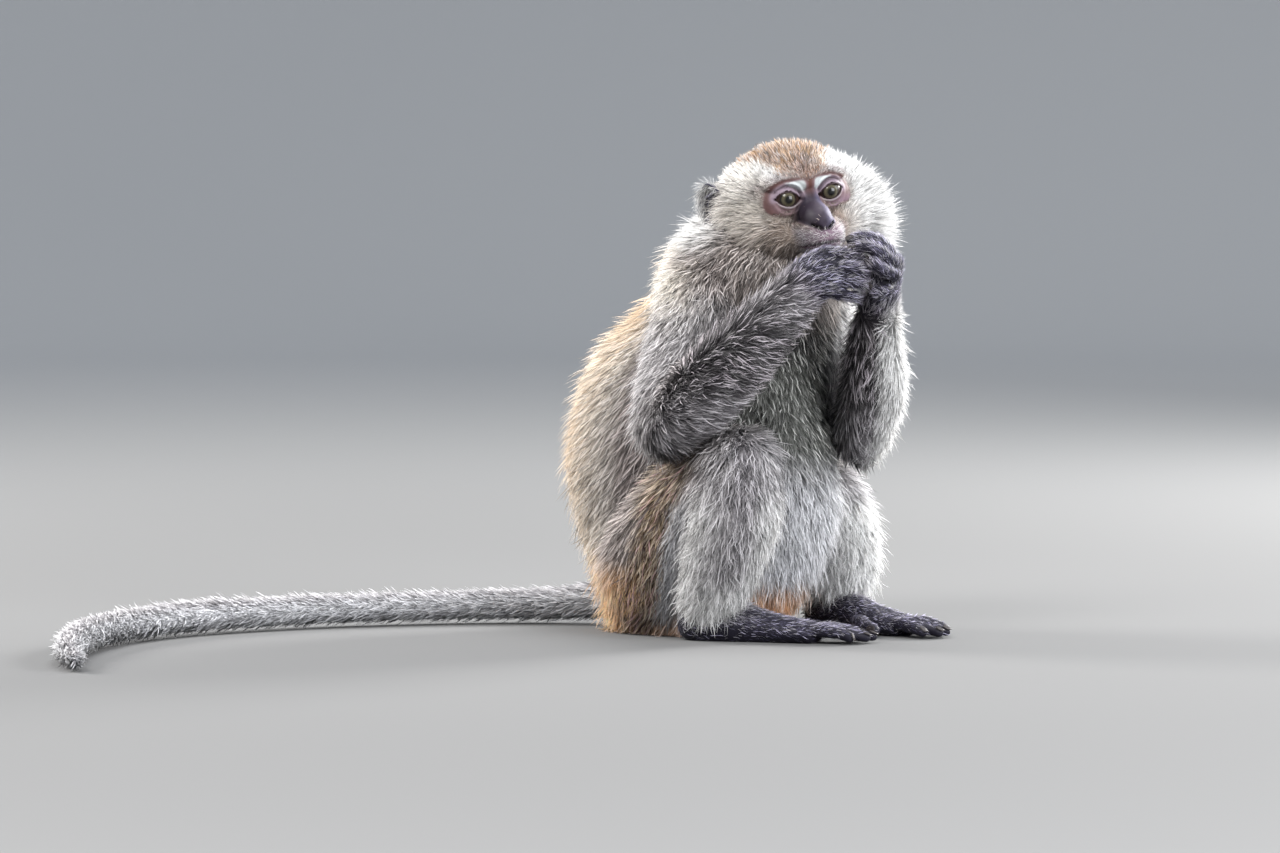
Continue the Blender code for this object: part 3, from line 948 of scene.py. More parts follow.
@dataclass
class BodyMap:
    """Short steps along every length of the body, to tell a point's part, lie of coat and unwrap."""

    names: list
    part: Array
    centre: Array
    heading: Array
    side: Array
    deep: Array
    reach: Array  # half width, half depth ahead and behind
    along: Array  # metres from the start of its length
    step: Array
    sag: Array
    head: Head
    softness: float = 3.5 * MM

    @classmethod
    def of_body(cls, trunk: Trunk, lengths: list[Length], head: Head) -> "BodyMap":
        """Gathers the steps of the trunk and of every length.

        Args:
            trunk: the trunk and neck.
            lengths: limbs, tail, hands and feet.
            head: the head.

        Returns:
            The map of them all.
        """
        rows, numbers = [], {}
        sections = trunk.rows(40)[::-1]
        centre = sections[:, :3] * MM
        heading = unit(np.gradient(centre, axis=0))
        along = np.concatenate([[0], np.cumsum(np.linalg.norm(np.diff(centre, axis=0), axis=1))])
        for k, section in enumerate(sections):
            height = section[2]
            name = "chest" if height < trunk.neck_height else "neck"
            name = "abdomen" if height < trunk.rump_height else name
            reach = (section[5] * MM, section[3] * MM, section[4] * MM)
            axes = (heading[k], trunk.side, trunk.front)
            number = numbers.setdefault(name, len(numbers))
            rows.append((number, centre[k], *axes, reach, along[k], TRUNK_STEP, TRUNK_SAG))
        for length in lengths:
            travel = np.linalg.norm(np.diff(length.rows(60)[:, :3], axis=0), axis=1).sum()
            count = max(5, round(travel / (FINE_STEP if length.coat[0] < 1 else COARSE_STEP)))
            stations, heading, side, deep = length.frames(count)
            for k in range(count):
                name = length.part
                if name == "tail":
                    name = TAIL_NODES[min(3, int(4 * k / count))]
                reach = (stations[k, 3], stations[k, 4], stations[k, 4])
                step = travel / (count - 1)
                axes = (heading[k], side[k], deep[k])
                number = numbers.setdefault(name, len(numbers))
                rows.append((number, stations[k, :3], *axes, reach, step * k, step / 2, length.sag))
        columns = [np.array(column) for column in zip(*rows)]
        return cls([*numbers, "head"], *columns, head)

    def read(self, points: Array) -> dict[str, Array]:
        """Each point's part, soft weights, lie and unwrap.

        A step's score is the distance of the point from the step's oval slab. Weights fall off as
        exp(-score / softness). The head scores by the distance from its masses.

        Args:
            points: N x 3 in metres.

        Returns:
            weight (N x parts), part (N), lie (N x 3) and unwrap (N x 2).
        """
        parts = len(self.names)
        weight = np.zeros((len(points), parts))
        lie = np.zeros((len(points), 3))
        unwrap = np.zeros((len(points), 2))
        for start in range(0, len(points), BATCH):
            chunk = slice(start, start + BATCH)
            offset = points[chunk, None] - self.centre
            axial = (offset * self.heading).sum(-1)
            sideways = (offset * self.side).sum(-1)
            ahead = (offset * self.deep).sum(-1)
            depth = np.where(ahead > 0, self.reach[:, 1], self.reach[:, 2])
            radial = np.hypot(sideways / self.reach[:, 0], ahead / depth)
            over = np.maximum(radial - 1, -0.2) * np.minimum(self.reach[:, 0], depth)
            beyond = np.maximum(np.abs(axial) - self.step, 0)
            score = np.hypot(np.maximum(over, 0), beyond) + np.minimum(over, 0)
            local = self.head.local(points[chunk]) - self.head.inside
            distance = np.linalg.norm(local, axis=1)
            head_over = (distance - self.head.reach(local / distance[:, None])) * MM
            head_score = np.abs(head_over) - 0.5 * MM
            best = np.minimum(score.min(1), head_score)
            share = np.exp(-(score - best[:, None]) / self.softness)
            head_share = np.exp(-(head_score - best) / self.softness)
            total = share.sum(1) + head_share
            for k in range(parts - 1):
                weight[chunk, k] = share[:, self.part == k].sum(1) / total
            weight[chunk, -1] = head_share / total
            way = self.heading * (1 - self.sag)[:, None] - UP * self.sag[:, None]
            lie[chunk] = (share / total[:, None]) @ way
            nearest = score.argmin(1)
            row = np.arange(len(nearest))
            turn = np.arctan2(ahead[row, nearest], sideways[row, nearest])
            unwrap[chunk, 0] = turn / (2 * math.pi) + 0.5
            unwrap[chunk, 1] = self.along[nearest] + axial[row, nearest]
        return {"weight": weight, "part": weight.argmax(1), "lie": lie, "unwrap": unwrap}


# ---- coat: length, lie and colour

LENGTH, RISE, FALL, WIDTH, DENSITY, CURL, FLECK = range(7)  # the columns of Pelt.row


@dataclass(frozen=True)
class Pelt:
    """How the coat grows on one part."""

    length: float  # millimetres
    rise: float  # degrees that a tuft stands from the skin at its root
    fall: float  # and at its tip
    width: float  # millimetres
    density: float  # tufts on a square millimetre
    curl: float = 0.4  # millimetres that a tuft swings sideways
    fleck: float = 0.2  # how strongly dark and light tufts are mingled

    def row(self) -> tuple:
        """The values as a row."""
        return self.length, self.rise, self.fall, self.width, self.density, self.curl, self.fleck


def stem_of(part: str) -> str:
    """A part's name without its side or place."""
    return "tail" if part.startswith("tail") else part.removesuffix("_right").removesuffix("_left")


PELTS = {
    "abdomen": Pelt(19, 46, 16, 0.70, 0.80, 0.8, 0.35),
    "chest": Pelt(19, 46, 16, 0.70, 0.85, 0.8, 0.35),
    "neck": Pelt(18, 48, 22, 0.70, 1.10, 0.8, 0.45),
    "head": Pelt(11, 44, 22, 0.50, 1.75, 0.4, 0.4),
    "ear": Pelt(7, 40, 25, 0.32, 2.0, 0.4, 0.12),
    "upper_arm": Pelt(17, 44, 14, 0.66, 1.5, 0.9, 0.55),
    "forearm": Pelt(12, 42, 15, 0.55, 1.5, 0.7, 0.42),
    "hand": Pelt(5.6, 19, 4, 0.27, 1.35, 0.2, 1.0),
    "thigh": Pelt(13, 42, 14, 0.62, 1.5, 0.6, 0.6),
    "shank": Pelt(17, 40, 12, 0.60, 1.7, 1.3, 0.5),
    "foot": Pelt(5.0, 16, 3, 0.29, 1.1, 0.2, 0.9),
    "tail": Pelt(9, 32, 10, 0.62, 0.95, 0.5, 0.45),
}


class Shade(Enum):
    """The coat's and skin's colours."""

    BEIGE = (168, 158, 152)
    FAWN = (143, 132, 127)
    CREAM = (230, 223, 213)
    GOLD = (216, 182, 140)
    AMBER = (190, 142, 72)
    WHITE = (242, 241, 240)
    # a rose grey darkened as painted shade
    SHADED_ROSE = (120, 111, 110)
    ORANGE = (216, 172, 126)
    CHEST = (118, 119, 114)
    SILVER = (216, 216, 220)
    ASH = (196, 193, 195)
    PEWTER = (150, 146, 150)
    STEEL = (48, 45, 50)
    OLIVE = (162, 141, 112)
    TAN = (228, 178, 136)
    HAZEL = (160, 143, 130)
    INK = (27, 25, 36)
    SLATE = (80, 77, 98)
    CROWN = (126, 84, 34)
    MAUVE = (124, 99, 102)
    LIP = (118, 98, 112)
    LID = (132, 118, 130)
    PALE = (194, 200, 201)
    NOSE = (44, 38, 52)
    RIM = (46, 32, 34)
    BROWN = (76, 44, 36)
    BROW = (78, 54, 52)

    @property
    def light(self) -> Array:
        """The colour in linear light."""
        return tone(*self.value)


def lay(rows: Array, shade: Shade, share: Array, gain: float = 1.0) -> None:
    """Lays a shade, made gain times as light, over rows of colours: fully where share is 1."""
    rows[:] = mix(rows, shade.light * gain, share)


@dataclass
class Field:
    """Everything known at points of the skin: part, lie, and how and in which colours the coat grows."""

    points: Array
    normals: Array
    part: Array
    lie: Array
    unwrap: Array
    pelt: Array  # columns as in Pelt.row
    skin: Array
    coat: Array
    other: Array  # the coat's second colour
    mingle: Array  # share of tufts in the second colour


@dataclass
class Markings:
    """Works out the field on the skin."""

    body: BodyMap
    trunk: Trunk
    head: Head
    ears: Ear = Ear()
    face_middle: tuple = (0.0, 95.0, -12.0)  # the coat of the head lies away from here
    muzzle_middle: tuple = (-1.5, -15.0)  # the bare muzzle's oval, seen from the front
    muzzle_half: tuple = (17.0, 19.0)
    bare_finger: float = 7.0  # how far the hair keeps from the tip of a finger
    bare_toe: float = 14.0

    def field(self, points: Array, normals: Array, hollow: Array) -> Field:
        """The whole field.

        Args:
            points: N x 3 in metres.
            normals: N x 3 unit vectors.
            hollow: how far each point lies below its surroundings, in millimetres.

        Returns:
            The field at the points.
        """
        read = self.body.read(points)
        names = self.body.names
        weight = {name: read["weight"][:, k] for k, name in enumerate(names)}
        local = self.head.local(points)
        table = np.array([PELTS[stem_of(name)].row() for name in names])
        pelt = read["weight"] @ table
        ear, ear_edge = self.ear_share(local)
        pelt = mix(pelt, np.array(PELTS["ear"].row()), ear)
        part = np.where((ear > 0.5) & (local[:, 0] > 0), len(names), read["part"])
        part = np.where((ear > 0.5) & (local[:, 0] <= 0), len(names) + 1, part)
        lie = self.lie(points, normals, read["lie"], weight, local)
        unwrap = read["unwrap"]
        ray = unit(local - self.head.inside)
        globe = np.column_stack([np.arctan2(ray[:, 0], ray[:, 1]) / (2 * math.pi) + 0.5,
                                 np.arcsin(np.clip(ray[:, 2], -1, 1)) / math.pi + 0.5])
        unwrap = np.where((part >= names.index("head"))[:, None], globe, unwrap)
        blank = np.zeros_like(points)
        field = Field(points, normals, part, lie, unwrap, pelt, blank, blank, blank, np.zeros(len(points)))
        self.colour(field, weight)
        self.colour_head(field, weight["head"], local)
        self.colour_ears(field, ear, ear_edge)
        self.paint_hollow_shade_and_ridge_light(field, weight, hollow)
        return field

    def ear_share(self, local: Array) -> tuple[Array, Array]:
        """1 on the ears, close to the rim's plane and within its outline, and 1 at the rim.

        Args:
            local: N x 3 in the head's axes.

        Returns:
            The share on the ears and the share at their rims.
        """
        share, edge = np.zeros((2, len(local)))
        for way in SIDES.values():
            middle, outward, upward, hollow = self.ears.frame(way)
            offset = local - middle
            a, b, c = offset @ outward, offset @ upward, offset @ hollow
            flat = np.hypot(a / (self.ears.wide + 1), b / (self.ears.tall * 1.3))
            own = ramp(1.25, 1.05, flat) * ramp(9, 6, np.abs(c + 2)) * ramp(-8.5, -6, a)
            share = np.maximum(share, own)
            edge = np.maximum(edge, own * ramp(0.62, 0.86, flat))
        return share, edge

    def lie(self, points: Array, normals: Array, lie: Array, weight: dict, local: Array) -> Array:
        """The way the coat lies, along the skin.

        Along each length towards its end and the floor, and on the head away from the face's middle.

        Args:
            points: N x 3 in metres.
            normals: N x 3.
            lie: the way along the body's lengths, N x 3.
            weight: each part's share, by name.
            local: the points in the head's axes.

        Returns:
            Unit vectors, N x 3.
        """
        away = unit(local - self.face_middle) @ self.head.axes().T
        away = unit(away - 0.25 * UP * ramp(0, -30, local[:, 2])[:, None])
        lie = lie + away * weight["head"][:, None]
        trunk = weight["abdomen"] + weight["chest"] + weight["neck"]
        lie = lie - 0.35 * self.trunk.front * (trunk * ramp(-20, 30, self.aft(points)))[:, None]
        lie = lie - np.array((0.35, 0, 0)) * (weight["thigh_right"] + 0.4 * weight["shank_right"])[:, None]
        lie = lie + 0.16 * Ripple(3, 0.05).slope(points)
        lie = lie - (lie * normals).sum(1, keepdims=True) * normals
        return unit(lie)

    def aft(self, points: Array) -> Array:
        """Millimetres behind the trunk's axis.

        Args:
            points: N x 3 in metres.

        Returns:
            N distances.
        """
        height = points[:, 2] / MM
        rows = self.trunk.rows(40)
        middle = np.column_stack([np.interp(height, rows[:, 2], rows[:, k]) for k in (0, 1)])
        return -(points[:, :2] / MM - middle) @ self.trunk.front[:2]

    def colour(self, field: Field, weight: dict) -> None:
        """Colours the coat's tips and the skin of the body, and thins the coat where it is so.

        Args:
            field: the field, which it fills.
            weight: each part's share, by name.
        """
        points, pelt, normals = field.points, field.pelt, field.normals
        x, y, z = (points / MM).T
        aft = self.aft(points)
        drift = Ripple(11, 0.09).value(points)
        fine = Ripple(12, 0.03).value(points)
        trunk = weight["abdomen"] + weight["chest"] + weight["neck"]
        low_trunk = trunk - weight["neck"]
        flank = (points[:, :2] / MM - (35, 3)) @ self.trunk.side[:2]
        front = ramp(12, -22, aft)
        rim_lit_side = ramp(-0.35, 0.2, normals[:, 0])  # turned to the animal's left and back, where rim light is painted

        coat = np.tile(Shade.FAWN.light, (len(points), 1))
        lay(coat, Shade.CREAM, trunk * ramp(20, 38, aft) * 0.92)
        lay(coat, Shade.GOLD, trunk * bell(flank - 6, 34) * ramp(25, 60, aft) * (0.62 + 0.2 * drift))
        lay(coat, Shade.GOLD, trunk * bell(z - 228, 26) * ramp(22, 44, aft) * 0.9)
        lay(coat, Shade.WHITE, trunk * ramp(250, 264, z) * ramp(-8, 25, aft) * 0.9)
        # painted shade: the flank on the animal's right darkened to a rose grey
        lay(coat, Shade.SHADED_ROSE, low_trunk * ramp(34, 56, flank) * ramp(60, 90, z) * 0.75)
        # painted shadow under the head, on the chest and right shoulder
        collar = weight["neck"] + weight["chest"] + 0.5 * weight["upper_arm_right"]
        lay(coat, Shade.SHADED_ROSE, 0.7 * bell(x - 42, 20) * bell(z - 228, 24) * ramp(-10, -40, y) * collar)
        lay(coat, Shade.BEIGE, weight["neck"] * ramp(0, -25, aft) * 0.6, 0.95)
        lay(coat, Shade.ORANGE, trunk * ramp(64, 30, z + 8 * fine) * ramp(-35, 10, aft) * 0.95, 1.8)
        lay(coat, Shade.CHEST, low_trunk * front * ramp(92, 128, z) * ramp(238, 214, z), 0.8)
        # painted shade: a dark band across the chest's front behind the forearms
        lay(coat, Shade.CHEST, trunk * front * bell(z - 204, 18), 0.12)
        lay(coat, Shade.SILVER, trunk * front * ramp(132, 98, z) * ramp(20, 45, z))
        lay(coat, Shade.TAN, trunk * front * ramp(50, 32, z))
        band, past = self.thigh_band(x, z)
        near = low_trunk * ramp(-8, -26, y) * ramp(126, 112, z)
        lay(coat, Shade.OLIVE, near * band * 0.9)
        other = coat.copy()
        mingle = np.zeros(len(points))

        for side in SIDES:
            lay(coat, Shade.ASH, weight[f"upper_arm_{side}"] * 0.85 * ramp(240, 215, z))
            fore = weight[f"forearm_{side}"]
            lay(coat, Shade.STEEL, fore * 0.95)
            paler = np.maximum(ramp(172, 140, z) * 0.9, 0.4 * ramp(205, 225, z))
            lay(coat, Shade.PEWTER, fore * paler)
            lay(coat, Shade.SLATE, weight[f"hand_{side}"])
            thigh, shank = weight[f"thigh_{side}"], weight[f"shank_{side}"]
            lay(coat, Shade.FAWN, thigh, 0.9)
            lay(coat, Shade.SILVER, thigh * (past * ramp(112, 92, z) if side == "right" else 0), 1.15)
            lay(coat, Shade.OLIVE, thigh * (band if side == "right" else 0.8))
            lay(coat, Shade.ORANGE, thigh * ramp(62, 30, z) * ramp(-2, -16, x) * 0.85, 1.9)
            lay(coat, Shade.ASH, shank)
            # darker on the knee, and painted shade where a shank faces front or back
            dusky = 0.35 * ramp(88, 108, z) + 0.8 * bell(normals[:, 0] - 0.1, 0.36)
            lay(coat, Shade.PEWTER, shank * dusky, 0.85)
            lay(coat, Shade.SLATE, weight[f"foot_{side}"])
        shoulder = trunk + weight["upper_arm_right"]
        lay(coat, Shade.CREAM, shoulder * bell(x - 14, 13) * bell(z - 238, 19) * ramp(10, -10, y), 1.15)
        lay(coat, Shade.GOLD, shoulder * ramp(5, -5, x) * bell(z - 226, 15) * 0.9)
        # painted rim light: the far arm turned white where it faces +X, and the far shank low down
        pale = (weight["forearm_left"] + weight["upper_arm_left"]) * ramp(0.1, 0.5, normals[:, 0])
        pale = pale + weight["shank_left"] * np.maximum(rim_lit_side, 0.8) * ramp(98, 84, z)
        lay(coat, Shade.WHITE, pale, 0.98)
        pelt[:, FLECK] *= 1 - 0.75 * pale
        # painted rim light: the right shank white where it turns sideways, and whiter towards the floor
        edge = ramp(0.25, 0.7, np.abs(normals[:, 0])) * ramp(112, 92, z)
        lay(coat, Shade.WHITE, weight["shank_right"] * np.maximum(edge * 0.8, 0.95 * ramp(58, 36, z)))
        tail = sum(weight[name] for name in TAIL_NODES)
        lay(coat, Shade.SILVER, tail)
        lay(coat, Shade.PEWTER, tail * ramp(0.45, 0.95, normals[:, 2]) * 0.7)

        # the skin under the coat is the coat's colour darkened: painted shade in the gaps between tufts
        skin = coat * 0.62
        bare = low_trunk * front * ramp(92, 128, z) * ramp(240, 220, z)
        lay(skin, Shade.CHEST, bare, 0.85)
        pelt[:, LENGTH] *= 1 - 0.5 * bare
        pelt[:, DENSITY] *= 1 - 0.4 * bare
        for side in SIDES:
            dark = np.clip(weight[f"hand_{side}"] * 1.6, 0, 1) + np.clip(weight[f"foot_{side}"] * 1.6, 0, 1)
            lay(skin, Shade.INK, np.clip(dark, 0, 1))
        olive = (weight["thigh_right"] + near) * band + 0.8 * weight["thigh_left"]
        lay(other, Shade.BROW, np.clip(olive * 1.5, 0, 1), 1.4)
        mingle += 0.34 * olive
        silver = trunk * front * ramp(128, 100, z) + weight["shank_right"] + weight["shank_left"]
        pelt[:, CURL] *= 1 + 0.6 * np.clip(silver, 0, 1)
        field.skin, field.coat, field.other, field.mingle = skin, coat, other, mingle

    @staticmethod
    def thigh_band(x: Array, z: Array) -> tuple[Array, Array]:
        """1 on the golden-brown band that runs from the knee to the rump behind the shank, and 1 past it.

        Its middle line bends at three heights, and it is widest at the rump.

        Args:
            x: millimetres along X.
            z: millimetres over the floor.

        Returns:
            The two shares.
        """
        heights = (20, 61, 92, 123)
        off = x - np.interp(z, heights, (-13, -2.5, 4, 20))
        half = np.interp(z, heights, (15, 9.5, 8.5, 9))
        return ramp(-half - 4, -half + 4, off) * ramp(half + 4, half - 3, off), ramp(half - 5, half + 2, off)

    def colour_head(self, field: Field, share: Array, local: Array) -> None:
        """The head's markings: golden crown, pale temples and whiskers, mauve face, grey nose and lids.

        Args:
            field: the field, which it changes.
            share: the head's share.
            local: the points in the head's axes.
        """
        pelt, coat, skin = field.pelt, field.coat, field.skin
        x, y, z = local.T
        side = np.abs(x)
        fine = Ripple(21, 0.016).value(field.points)
        ahead = ramp(8, 18, y) * share

        head = np.tile(Shade.CREAM.light, (len(x), 1))
        cheek = ramp(-2, -26, z + 3 * fine) * ramp(-30, 5, x) * ramp(-25, 10, y)
        lay(head, Shade.BEIGE, cheek * (0.9 - 0.5 * ramp(26, 42, side)))
        lay(head, Shade.HAZEL, bell(side - 19, 15) * bell(z + 13, 17) * ramp(0, 14, y) * 0.95)
        # whiter temples, less so on the head's right: painted shade on that side
        lay(head, Shade.WHITE, bell(z - 20, 13) * ramp(8, 18, side) * (1 - 0.6 * ramp(20, 30, x)))
        lay(head, Shade.PEWTER, bell(z - 21 + 0.1 * side, 5) * ramp(30, 16, side) * ramp(8, 16, y) * 0.7)
        # the head's left whiter: the pale ruff, with painted rim light on it
        lay(head, Shade.WHITE, ramp(-16, -32, x) * 0.85)
        half = 9 + 17 * ramp(20, 36, z) + 10 * ramp(12, -25, y)
        low = 21 - 24 * ramp(5, -38, y)
        cap = ramp(half + 9, half - 6, side + 3.5 * fine) * ramp(low - 4, low + 6, z + 2 * fine)
        crown = np.tile(Shade.CROWN.light, (len(x), 1))
        lay(crown, Shade.AMBER, ramp(-0.4, 0.5, fine) * 0.6)
        lay(crown, Shade.BROWN, bell(side, 13) * bell(z - 22, 9) * 0.75 * ahead, 1.6)
        dusky = np.maximum(bell(side, 13) * bell(z - 24, 9), 0.75) * ramp(-30, 0, y)
        under = mix(head, Shade.BROW.light, dusky)
        coat[:] = mix(coat, mix(head, crown, cap * 0.88), share)
        field.other[:] = mix(field.other, mix(crown, under, ramp(0.6, 0.9, cap)), share)
        field.mingle[:] = field.mingle * (1 - share) + share * (0.9 * cap * (1 - cap) + 0.36 * cap)
        # the skin under the head's coat, darkened as painted shade in the gaps
        skin[:] = mix(skin, mix(head, crown, cap) * 0.72, share)

        eyes = self.head.eyes
        ring = np.full(len(x), 9.0)
        open_skin = np.zeros(len(x))
        oval = (local[:, ::2] - self.muzzle_middle) / self.muzzle_half
        around = np.hypot(*oval.T)  # 1 on the outline of the bare muzzle
        face = ramp(1.15, 0.85, around) * ahead
        muzzle = face.copy()
        for way in SIDES.values():
            middle = eyes.middle(way)
            across, height = (x - middle[0]) * way, z - middle[2]
            tall = np.where(height > -2, 15.2, 10.4)
            own = (np.abs((across + 3) / 19.0) ** 2.3 + np.abs((height + 2) / tall) ** 2.3) ** (1 / 2.3)
            ring = np.where(own < ring, own, ring)
            open_skin = np.maximum(open_skin, ramp(1.0, 0.92, own) * ramp(-8.5, -6.5, height + 0.1 * across))
        face = np.maximum(face, ramp(1.04, 0.92, ring + 0.05 * fine) * ahead)
        lay(skin, Shade.MAUVE, face)
        lay(skin, Shade.BROW, face * ramp(0.4, 0.92, ring) * ramp(17, 25, side + 0.4 * z) * 0.9)
        lay(skin, Shade.LIP, muzzle * ramp(2, -8, z))
        # painted light: the face's skin lighter low on the head's left
        lay(skin, Shade.LIP, face * ramp(-7, -13, x) * ramp(6, -2, z) * 0.7, 1.4)
        below = ramp(0, -7, z) * bell(side - 17, 10) * ramp(-16, -9, z)
        lay(skin, Shade.HAZEL, ahead * below * 0.7, 0.7)
        # tan beside the nose, fainter on the head's right: painted shade
        beside = bell(side - 9.5, 3.5) * bell(z + 1, 5) * np.where(x > 0, 0.15, 0.6)
        lay(skin, Shade.HAZEL, ahead * beside, 0.8)
        for way in SIDES.values():
            self.colour_lids(skin, x, z, way, ahead)
        line = bell(ring - 0.99, 0.085) * ramp(-3, 8, z - 0.12 * side)
        lay(skin, Shade.BROW, ahead * line * 0.9)
        lay(skin, Shade.BROWN, ahead * bell(side, 2.3) * ramp(3, 8, z) * ramp(24, 18, z) * 0.95)
        # the nose's dark reaches further on the head's right: painted shade
        wide = np.clip(5.0 + 0.42 * (6 - z), 4.0, 10.6) + ramp(-2, 3, x) * 3.2 * bell(z, 7)
        slit = self.head.nostril(side, z)
        nose = ramp(1.2, 0.75, side / wide) * ramp(15, 6, z) * ramp(-1.5, -0.5, slit)
        dark = np.tile(Shade.NOSE.light * 0.85, (len(x), 1))
        # the nose lighter on the head's left: painted highlight
        lay(dark, Shade.SLATE, ramp(0, -5, x) * 0.8, 1.25)
        skin[:] = mix(skin, dark, ahead * nose * 0.95)
        # painted shade: the nostrils near black, and a dark line under the tip
        nostril_shade = bell(slit - 0.4, 1.3) * ramp(1.4, 2.6, side) * ramp(8.6, 6.8, side)
        lay(skin, Shade.RIM, ahead * nostril_shade, 0.2)
        lay(skin, Shade.RIM, ahead * bell(slit, 0.7) * ramp(5, 3, side) * 0.8, 0.5)
        lip = self.head.lip(x, z)
        # a dark mouth line: the lips' own colour and painted shade in the slit
        lay(skin, Shade.RIM, ahead * bell(lip, 0.9) * ramp(17, 13, side) * 0.6)

        hair = np.tile(Shade.HAZEL.light * 0.8, (len(x), 1))
        lay(hair, Shade.ASH, ramp(-8, -16, z) * ramp(18, 12, side))
        # painted shade: the muzzle's hair and skin darker on the head's right
        hair = mix(hair, hair * 0.7, ramp(0, 9, x))
        skin[:] = mix(skin, skin * 0.72, muzzle * ramp(0, 9, x))
        coat[:] = mix(coat, hair, face)
        lay(coat, Shade.BROW, ahead * bell(ring - 1.07, 0.11) * ramp(4, 12, z) * 0.85)
        field.mingle[:] = field.mingle * (1 - face)
        grow = np.minimum(ramp(0.9, 1.9, ring), ramp(0.9, 1.9, around))
        grow = 1 - (1 - grow) * ahead
        pelt[:, LENGTH] = 2.6 * (1 - grow) + pelt[:, LENGTH] * grow
        pelt[:, WIDTH] = 0.24 * (1 - grow) + pelt[:, WIDTH] * grow
        pelt[:, DENSITY] = 2.6 * (1 - grow) + pelt[:, DENSITY] * grow
        pelt[:, DENSITY] *= 1 - 0.4 * muzzle * ramp(14, 8, side)
        naked = np.maximum(open_skin, ramp(0.0, 0.35, nose))
        naked = np.maximum(naked, bell(lip, 1.6) * ramp(16, 12, side))
        pelt[:, DENSITY] *= 1 - naked * ahead
        whiskers = share * ramp(20, 34, side) * ramp(16, 0, z)
        top = share * ramp(12, 26, z)
        pelt[:, LENGTH] *= 1 + 0.6 * whiskers - 0.35 * top
        pelt[:, RISE] += 12 * whiskers
        pelt[:, FALL] += 16 * whiskers + 6 * top
        pelt[:, DENSITY] *= 1 + 0.2 * top
        pelt[:, FLECK] = pelt[:, FLECK] * (1 - top) + 0.4 * top

    def colour_lids(self, skin: Array, x: Array, z: Array, way: int, ahead: Array) -> None:
        """One eye's lids: grey mauve, a pale patch above the inner corner, dark edges, and painted shade in
        the lower fold and the upper crease.

        Args:
            skin: the skin's colours, which it changes.
            x: millimetres to the head's right.
            z: millimetres up the head.
            way: 1 for the right eye, -1 for the left.
            ahead: 1 on the face.
        """
        eyes = self.head.eyes
        middle = eyes.middle(way)
        across, height = (x - middle[0]) * way, z - middle[2]
        flat = np.hypot(across, height * 1.1)
        lay(skin, Shade.LID, ahead * ramp(13, 10, flat) * (0.15 + 0.75 * ramp(-3, 1, height)))
        upper, lower = eyes.opening(across)
        rise = (height - 7.3 - 0.27 * (across + 11.8)) / np.maximum(4.8 - 0.36 * (across + 11.8), 0.8)
        patch = np.hypot(rise, np.minimum(across + 9.6, 0) / 2.6)
        patch = np.where(height > upper + 0.6, patch, 9)
        lay(skin, Shade.PALE, ahead * ramp(1.2, 0.6, patch) * ramp(3.0, -3, across) * 0.9)
        line = np.maximum(height - upper, lower - height)
        lay(skin, Shade.RIM, ahead * ramp(1.15, 0.5, line) * ramp(10.5, 8.5, np.abs(across)))
        pale = bell(height - lower + 1.7, 0.55) * ramp(9, 6, np.abs(across))
        lay(skin, Shade.PALE, ahead * pale * 0.42, 0.8)
        # painted shade in the fold under the lower lid
        fold = bell(height - lower + 3.0, 0.5) * ramp(9, 6, np.abs(across))
        lay(skin, Shade.BROW, ahead * fold * 0.6)
        # painted shade in the crease over the upper lid
        crease = height - 4.0 - upper
        lay(skin, Shade.BROW, ahead * 0.6 * bell(crease, 0.45) * ramp(11, 8, np.abs(across)))

    def colour_ears(self, field: Field, ear: Array, edge: Array) -> None:
        """Dark ears with a white fringe.

        Args:
            field: the field, which it changes.
            ear: 1 on the ears.
            edge: 1 at their rims.
        """
        hair = np.tile(Shade.PEWTER.light * 0.55, (len(ear), 1))
        lay(hair, Shade.WHITE, edge * 0.8)
        lay(field.skin, Shade.SLATE, ear, 0.6)
        field.coat = mix(field.coat, hair, ear)
        lay(field.other, Shade.SLATE, ear, 0.5)
        field.mingle = field.mingle * (1 - ear) + ear * 0.6 * (1 - edge)
        field.pelt[:, LENGTH] += 1.5 * edge * ear

    def paint_hollow_shade_and_ridge_light(self, field: Field, weight: dict, hollow: Array) -> None:
        """Paints shade into what lies deep, most on hands and feet, and a highlight on the hair of their
        ridges.

        Args:
            field: the field, which it changes.
            weight: each part's share, by name.
            hollow: how deep each point lies, in millimetres.
        """
        tough = sum(weight[f"{part}_{side}"] for part in ("hand", "foot") for side in SIDES)
        deep = ramp(0.02, 0.55, hollow)
        ridge = ramp(0.05, 0.5, -hollow)
        # painted shade in the hollows, darkest on hands and feet, and painted highlight on the coat of their
        # ridges
        field.skin = field.skin * (1 - (0.35 + 0.3 * tough) * deep)[:, None]
        field.coat = field.coat * (1 - (0.2 + 0.5 * tough) * deep + 0.7 * tough * ridge)[:, None]
        field.pelt[:, LENGTH] *= 1 - 0.5 * tough * deep
        field.pelt[:, DENSITY] *= 1 - 0.85 * tough * deep
        field.pelt[:, FLECK] *= 1 - 0.7 * tough * deep
        soles = sum(weight[f"foot_{side}"] for side in SIDES) * ramp(0.25, -0.25, field.normals[:, 2])
        field.pelt[:, DENSITY] *= 1 - 0.8 * soles
        for limb in (*HANDS, *FEET):
            for digit in limb.digit_list():
                away = np.linalg.norm(field.points / MM - digit.points[-1], axis=1)
                end = self.bare_finger if isinstance(limb, Hand) else self.bare_toe
                field.pelt[:, DENSITY] *= 1 - 0.85 * ramp(end, 0.45 * end, away)


# ---- tufts


